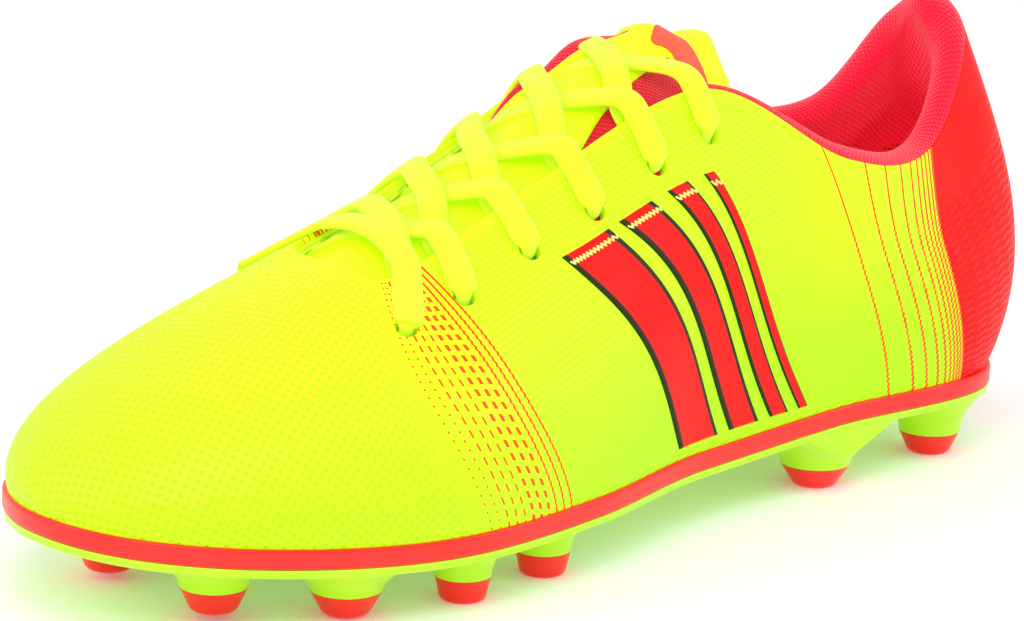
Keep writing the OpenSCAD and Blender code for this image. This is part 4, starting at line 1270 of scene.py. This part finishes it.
base_sheet = on_tongue(high)
up_sheet = unit(np.cross(np.gradient(base_sheet, axis=0), np.gradient(base_sheet, axis=1)))
up_sheet *= np.sign(up_sheet[..., 2:].mean())
rounding = np.clip(1 - np.abs(np.linspace(-1, 1, 41)) ** 24, 0.05, 1)[None, :, None] ** 0.5
overlay_high = base_sheet + up_sheet * (0.15 + 0.75 * rounding)
overlay_low = base_sheet - up_sheet * 0.1
overlay_uv = np.stack([along_mm[:, None] + 0 * over_a, over_a * 20], -1)
points, faces = shell(overlay_high, overlay_low)
overlay = new_piece("tongue_overlay", points, faces, both(overlay_uv),
                    {"zone": both(np.zeros((*over_a.shape, 3))),
                     "front_lines": both(np.full((*over_a.shape, 3), -50.0)),
                     "heel_lines": both(np.full((*over_a.shape, 3), -50.0))})
finish_piece(overlay, yellow, "yellow_synthetic", body=None)

# %% Label: a plain rounded patch on the flap, placed by rows and columns of the overlay
LABEL_ROW, LABEL_ROWS, LABEL_COLUMN, LABEL_COLUMNS = TIP_ROW - 21, 6, 12, 10
label_across, label_along = np.meshgrid(np.linspace(-1, 1, 33), np.linspace(-1, 1, 25))
round_across = label_across * np.sqrt(1 - label_along ** 2 / 2)
round_along = label_along * np.sqrt(1 - label_across ** 2 / 2)


def label_sheet(lift):
    """A disc squeezed to an oval on the overlay, found by its row and its place across."""
    row = LABEL_ROW + round_along * LABEL_ROWS
    column = LABEL_COLUMN + round_across * LABEL_COLUMNS
    i, j = row.astype(int), column.astype(int)
    s, t = (row - i)[..., None], (column - j)[..., None]
    def read(grid):
        return mix(mix(grid[i, j], grid[i + 1, j], s), mix(grid[i, j + 1], grid[i + 1, j + 1], s), t)
    return read(overlay_high) + read(up_sheet) * lift


points, faces = shell(label_sheet(0.35), label_sheet(-0.1))
label_uv = np.stack([round_across * 9, round_along * 6], -1)
label = new_piece("label_patch", points, faces, both(label_uv),
                  {"zone": both(np.zeros((*label_across.shape, 3)))})
label_red, tree, shader = new_material("label red", roughness=0.5, glow=0.1, specular=0.3)
where = add(tree, "UVMap", uv_map="flat").outputs[0]
speckle = use(tree, grain, Vector=where, Size=0.4)
base = blend_colours(tree, speckle["Patches"], colour(255, 104, 78), colour(250, 84, 56))
paint(tree, shader, base, speckle["Height"], 0.2, 0.0002)
finish_piece(label, label_red, "red_synthetic", "tongue_label", body=None)

for piece in (padding, overlay, label):
    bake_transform(piece)

# %% [markdown]
# ## Lace and tags
# The rings of the lace are smoothed between the route's points, and each ring is a flat oval.

# %% The lace's mesh
FINE = 5


def smooth_rows(rows, parts):
    """More rows between the given ones on a Catmull-Rom curve, as at the ribs of the last."""
    t = np.arange((len(rows) - 1) * parts + 1) / parts
    i = np.minimum(t.astype(int), len(rows) - 2)
    t = (t - i)[:, None]
    a, b, c, d = (rows[np.clip(i + k, 0, len(rows) - 1)] for k in (-1, 0, 1, 2))
    return (2 * b + (c - a) * t + (2 * a - 5 * b + 4 * c - d) * t ** 2 + (3 * b - a - 3 * c + d) * t ** 3) / 2


lace_middle = smooth_rows(route_points, FINE)
lace_level = unit(smooth_rows(across, FINE))
lace_size = smooth_rows(ROUTE[:, 3:5], FINE)
lace_way = unit(np.gradient(lace_middle, axis=0))
lace_level = unit(lace_level - lace_way * (lace_level * lace_way).sum(1, keepdims=True))
lace_up = np.cross(lace_way, lace_level)
turn = np.linspace(0, math.tau, 20, endpoint=False)
wide = np.sign(np.cos(turn)) * np.abs(np.cos(turn)) ** 0.62
tall = np.sign(np.sin(turn)) * np.abs(np.sin(turn)) ** 0.80
LACE_PLUMP = 0.6
lace_grid = (lace_middle[:, None]
             + lace_level[:, None] * (wide[None, :, None] * lace_size[:, None, :1] / 2)
             + lace_up[:, None] * (tall[None, :, None] * (lace_size[:, None, 1:] + LACE_PLUMP) / 2))
lace_run = np.concatenate([[0], np.linalg.norm(np.diff(lace_middle, axis=0), axis=1).cumsum()])
lace_uv = np.stack(np.meshgrid(lace_run, np.cos(turn) * 3.3, indexing="ij"), -1)
n, m = lace_grid.shape[:2]
faces = grid_faces(n, m, round_columns=True)[:, ::-1].tolist()
faces += [list(range(m)), list(range((n - 1) * m, n * m))[::-1]]
lace = new_piece("flat_lace", lace_grid.reshape(-1, 3), faces, lace_uv.reshape(-1, 2), crease=60)
print("lace:", round(float(lace_run[-1])), "mm on its middle line")

lace_cloth, tree, shader = new_material("lace textile", roughness=0.75, glow=0.14, sheen=0.3,
                                        specular=0.25)
where = add(tree, "UVMap", uv_map="flat").outputs[0]
braid = use(tree, wavy, Vector=where, Pitch=0.62, Turn=0.0, Break=2.6)["Height"]
speckle = use(tree, grain, Vector=where, Size=0.3)
# Painted shade: the troughs of the braid are painted a darker green-yellow.
base = blend_colours(tree, sums(tree, "MULTIPLY", sums(tree, "SUBTRACT", 1.0, braid), 0.22), LACE_YELLOW,
                     colour(206, 240, 20))
paint(tree, shader, base, sums(tree, "MULTIPLY_ADD", speckle["Height"], 0.3, braid), 0.35, 0.00025)
finish_piece(lace, lace_cloth, "lace_textile", "shoelace")

# %% Tags: a glossy film finish on the two CAD cylinders
def place_in_mm(tree):
    """A node that gives the place on a piece in millimetres."""
    inside = add(tree, "TexCoord").outputs["Object"]
    return add(tree, "VectorMath", {0: inside, "Scale": 1000.0}, operation="SCALE").outputs[0]


clear_film, tree, shader = new_material("tag film", roughness=0.2, glow=0.05, coat=0.6)
place = place_in_mm(tree)
speckle = use(tree, grain, Vector=place, Size=0.6)
paint(tree, shader, blend_colours(tree, speckle["Patches"], colour(226, 248, 60), colour(206, 236, 30)),
      speckle["Height"], 0.15, 0.0002)
for name in ("aglet_outer", "aglet_inner"):
    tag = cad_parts[name]
    tag.data.materials.clear()
    tag.data.materials.append(clear_film)

# %% [markdown]
# ## Bars on the sides
# Each side carries four plain slanted bars, wide in front and narrow behind, with dark edges.
# They are thin films welded on, so they follow the skin, and a pale zigzag seam crosses their tops.

# %% Bars and zigzag seams
BARS = [[4.08, 4.95, 15], [4.42, 5.33, 10], [4.68, 5.6, 6], [4.88, 5.78, 3]]
BAR_T, BAR_HIGH, BAR_LOW = 0.5, 0.76, 0.035


def bar_places(side, bar, s, across):
    """u and v on a bar: s from its top to the sole, across from -1 to 1 over its width."""
    u, v = mix(bar[0], bar[1], s), mix(BAR_HIGH, BAR_LOW, s)
    half = bar[2] / np.linalg.norm(skin(u + 0.5, v) - skin(u - 0.5, v), axis=-1) / 2
    u = u + half * across
    return (u if side > 0 else RIB_COUNT - u), v


for side, side_name in ((1, "outer"), (-1, "inner")):
    points, faces, uvs, zones = [], [], [], []
    seams = []
    for bar in BARS:
        s, w = np.linspace(0, 1, 90)[:, None], np.linspace(-1, 1, 25)[None]
        s, w = np.broadcast_arrays(s, w)
        u, v = bar_places(side, bar, s, w)
        edge = np.clip(np.minimum((1 - np.abs(w)) * bar[2] / 2, np.minimum(s, 1 - s) * 90) / 0.35, 0, 1)
        upper = at(u, v, -0.12 - (BAR_T - 0.12) * np.sqrt(1 - (1 - edge) ** 2))
        lower = at(u, v, 0.15)
        if side > 0:
            upper, lower, s, w, u, v = (x[::-1] for x in (upper, lower, s, w, u, v))
        p, f = shell(upper, lower)
        faces += (f + sum(len(x) for x in points)).tolist()
        points.append(p)
        uvs.append(both(flat_place(u, v)))
        border = min(1.3, bar[2] * 0.16)
        dark = smooth((border - (1 - np.abs(w)) * bar[2] / 2) / 0.12 + 0.5)
        zones.append(both(np.stack([0 * w, 0 * w, dark], -1)))
        k = np.linspace(0, 1, int(bar[2] / 1.1) * 2 + 1)
        zig_s = 0.045 + 0.010 * np.where(np.arange(k.size) % 2, 1, -1)
        seams.append(at(*bar_places(side, bar, zig_s, mix(-0.97, 0.97, k)), -BAR_T - 0.10))
    bars = new_piece("bar_films_" + side_name, np.concatenate(points), faces, np.concatenate(uvs),
                     {"zone": np.concatenate(zones)})
    finish_piece(bars, red_leather, "red_synthetic", "side_bars_" + side_name)
    points, faces = [], []
    for path in seams:
        path = smooth_rows(path, 3)
        way_on = unit(np.gradient(path, axis=0))
        a = unit(np.cross(way_on, [0.0, 0.0, 1.0]))
        b = np.cross(way_on, a)
        ring = np.linspace(0, math.tau, 8, endpoint=False)[None, :, None]
        tube = path[:, None] + (a[:, None] * np.cos(ring) + b[:, None] * np.sin(ring)) * 0.22
        start = sum(len(x) for x in points)
        n, m = tube.shape[:2]
        faces += grid_faces(n, m, start, round_columns=True).tolist()
        faces += [list(range(start, start + m))[::-1], list(range(start + (n - 1) * m, start + n * m))]
        points.append(tube.reshape(-1, 3))
    thread = new_piece("bar_seams_" + side_name, np.concatenate(points), faces)
    if side > 0:
        pale_thread, tree, shader = new_material("pale thread", roughness=0.7, glow=0.1, sheen=0.2)
        place = place_in_mm(tree)
        twist = use(tree, wavy, Vector=place, Pitch=0.5, Turn=0.8, Break=0.3)["Height"]
        # Painted shade: the grooves of the twist are painted darker and its crests paler.
        paint(tree, shader, blend_colours(tree, twist, colour(226, 226, 110), THREAD_PALE),
              twist, 0.4, 0.0002)
    finish_piece(thread, pale_thread, "lace_textile")

# %% [markdown]
# ## Parts that hardly show
# The board, the foams and the stiffeners are inside. They keep their CAD shapes, and get plain
# finishes of their own so that a cut or an open view is still right.

# %% Inner parts
def plain_core(name, tone, shade, size, roughness):
    """Board, foam or stiffener: cloudy colour and a granular surface."""
    material, tree, shader = new_material(name, roughness=roughness, specular=0.2)
    place = place_in_mm(tree)
    speckle = use(tree, grain, Vector=place, Size=size)
    paint(tree, shader, blend_colours(tree, speckle["Height"], tone, shade),
          speckle["Height"], 0.4, 0.0004)
    return material


board_fibre = plain_core("fibre board", colour(196, 178, 148), colour(160, 138, 104), 0.8, 0.9)
cell_foam = plain_core("cell foam", colour(240, 236, 212), colour(214, 208, 176), 0.35, 0.95)
stiff_sheet = plain_core("stiffener sheet", colour(236, 230, 214), colour(210, 202, 182), 0.5, 0.7)
for material, names in ((board_fibre, ("lasting_board",)),
                        (cell_foam, ("sockliner_foam", "collar_foam", "side_padding_outer",
                                     "side_padding_inner")),
                        (stiff_sheet, ("toe_puff", "heel_counter"))):
    for name in names:
        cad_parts[name].data.materials.clear()
        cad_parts[name].data.materials.append(material)

# %% [markdown]
# ## Floor, light and camera
# The boot stands on a plain white floor in soft studio light: a large lamp above and in front,
# a weaker one on each side, and a bright pale background. The camera is a long lens, so the
# lines of the boot run nearly parallel.

# %% Floor
floor = bpy.data.objects.new("floor", bpy.data.meshes.new("floor"))
floor.data.from_pydata([(-6, -6, 0), (6, -6, 0), (6, 6, 0), (-6, 6, 0)], [], [(0, 1, 2, 3)])
bpy.context.scene.collection.objects.link(floor)
floor_white, tree, shader = new_material("studio floor", roughness=0.8, glow=0.12, specular=0.1)
cloud = add(tree, "TexNoise", {"Vector": add(tree, "TexCoord").outputs["Object"], "Scale": 3.0}).outputs[0]
paint(tree, shader, blend_colours(tree, cloud, colour(250, 250, 250), colour(247, 247, 247)))
floor.data.materials.append(floor_white)

# %% Camera: azimuth is counted from the -Y side towards +X
TARGET = Vector((0.0099, -0.0008, 0.050))
AZIMUTH, ELEVATION, ROLL = math.radians(138), math.radians(14.5), math.radians(1.65)
DISTANCE, FOCAL_LENGTH = 0.952, 147.5
back = Vector((math.sin(AZIMUTH) * math.cos(ELEVATION), -math.cos(AZIMUTH) * math.cos(ELEVATION),
               math.sin(ELEVATION)))
right = back.cross(Vector((0, 0, -1))).normalized()
up = back.cross(right).normalized()
right, up = right * math.cos(ROLL) + up * math.sin(ROLL), up * math.cos(ROLL) - right * math.sin(ROLL)
lens = bpy.data.cameras.new("camera")
lens.sensor_width, lens.lens, lens.clip_start, lens.clip_end = 36, FOCAL_LENGTH, 0.01, 20
camera = bpy.data.objects.new("camera", lens)
facing = Matrix((right, up, back)).transposed().to_4x4()
camera.matrix_world = Matrix.Translation(TARGET + back * DISTANCE) @ facing
bpy.context.scene.collection.objects.link(camera)
bpy.context.scene.camera = camera


# %% Lights
def lamp(name, place, aim, size, power):
    """A square area light of a size in metres, aimed at a point."""
    data = bpy.data.lights.new(name, "AREA")
    data.size, data.energy = size, power
    light = bpy.data.objects.new(name, data)
    light.matrix_world = (Matrix.Translation(place)
                          @ (Vector(place) - Vector(aim)).to_track_quat("Z", "Y").to_matrix().to_4x4())
    bpy.context.scene.collection.objects.link(light)


lamp("key lamp", (0.9, 0.9, 1.5), (0, 0, 0.03), 1.0, 12.5)
lamp("toe lamp", (1.3, -0.6, 0.9), (0.05, 0, 0.04), 0.8, 5.5)
lamp("heel lamp", (-1.2, 0.9, 1.0), (-0.05, 0, 0.05), 0.9, 5)
world = bpy.data.worlds.new("studio")
bpy.context.scene.world = world
world.use_nodes = True
world.node_tree.nodes["Background"].inputs["Color"].default_value = (1, 1, 1, 1)
world.node_tree.nodes["Background"].inputs["Strength"].default_value = 0.75
bpy.context.scene.view_settings.view_transform = "Standard"
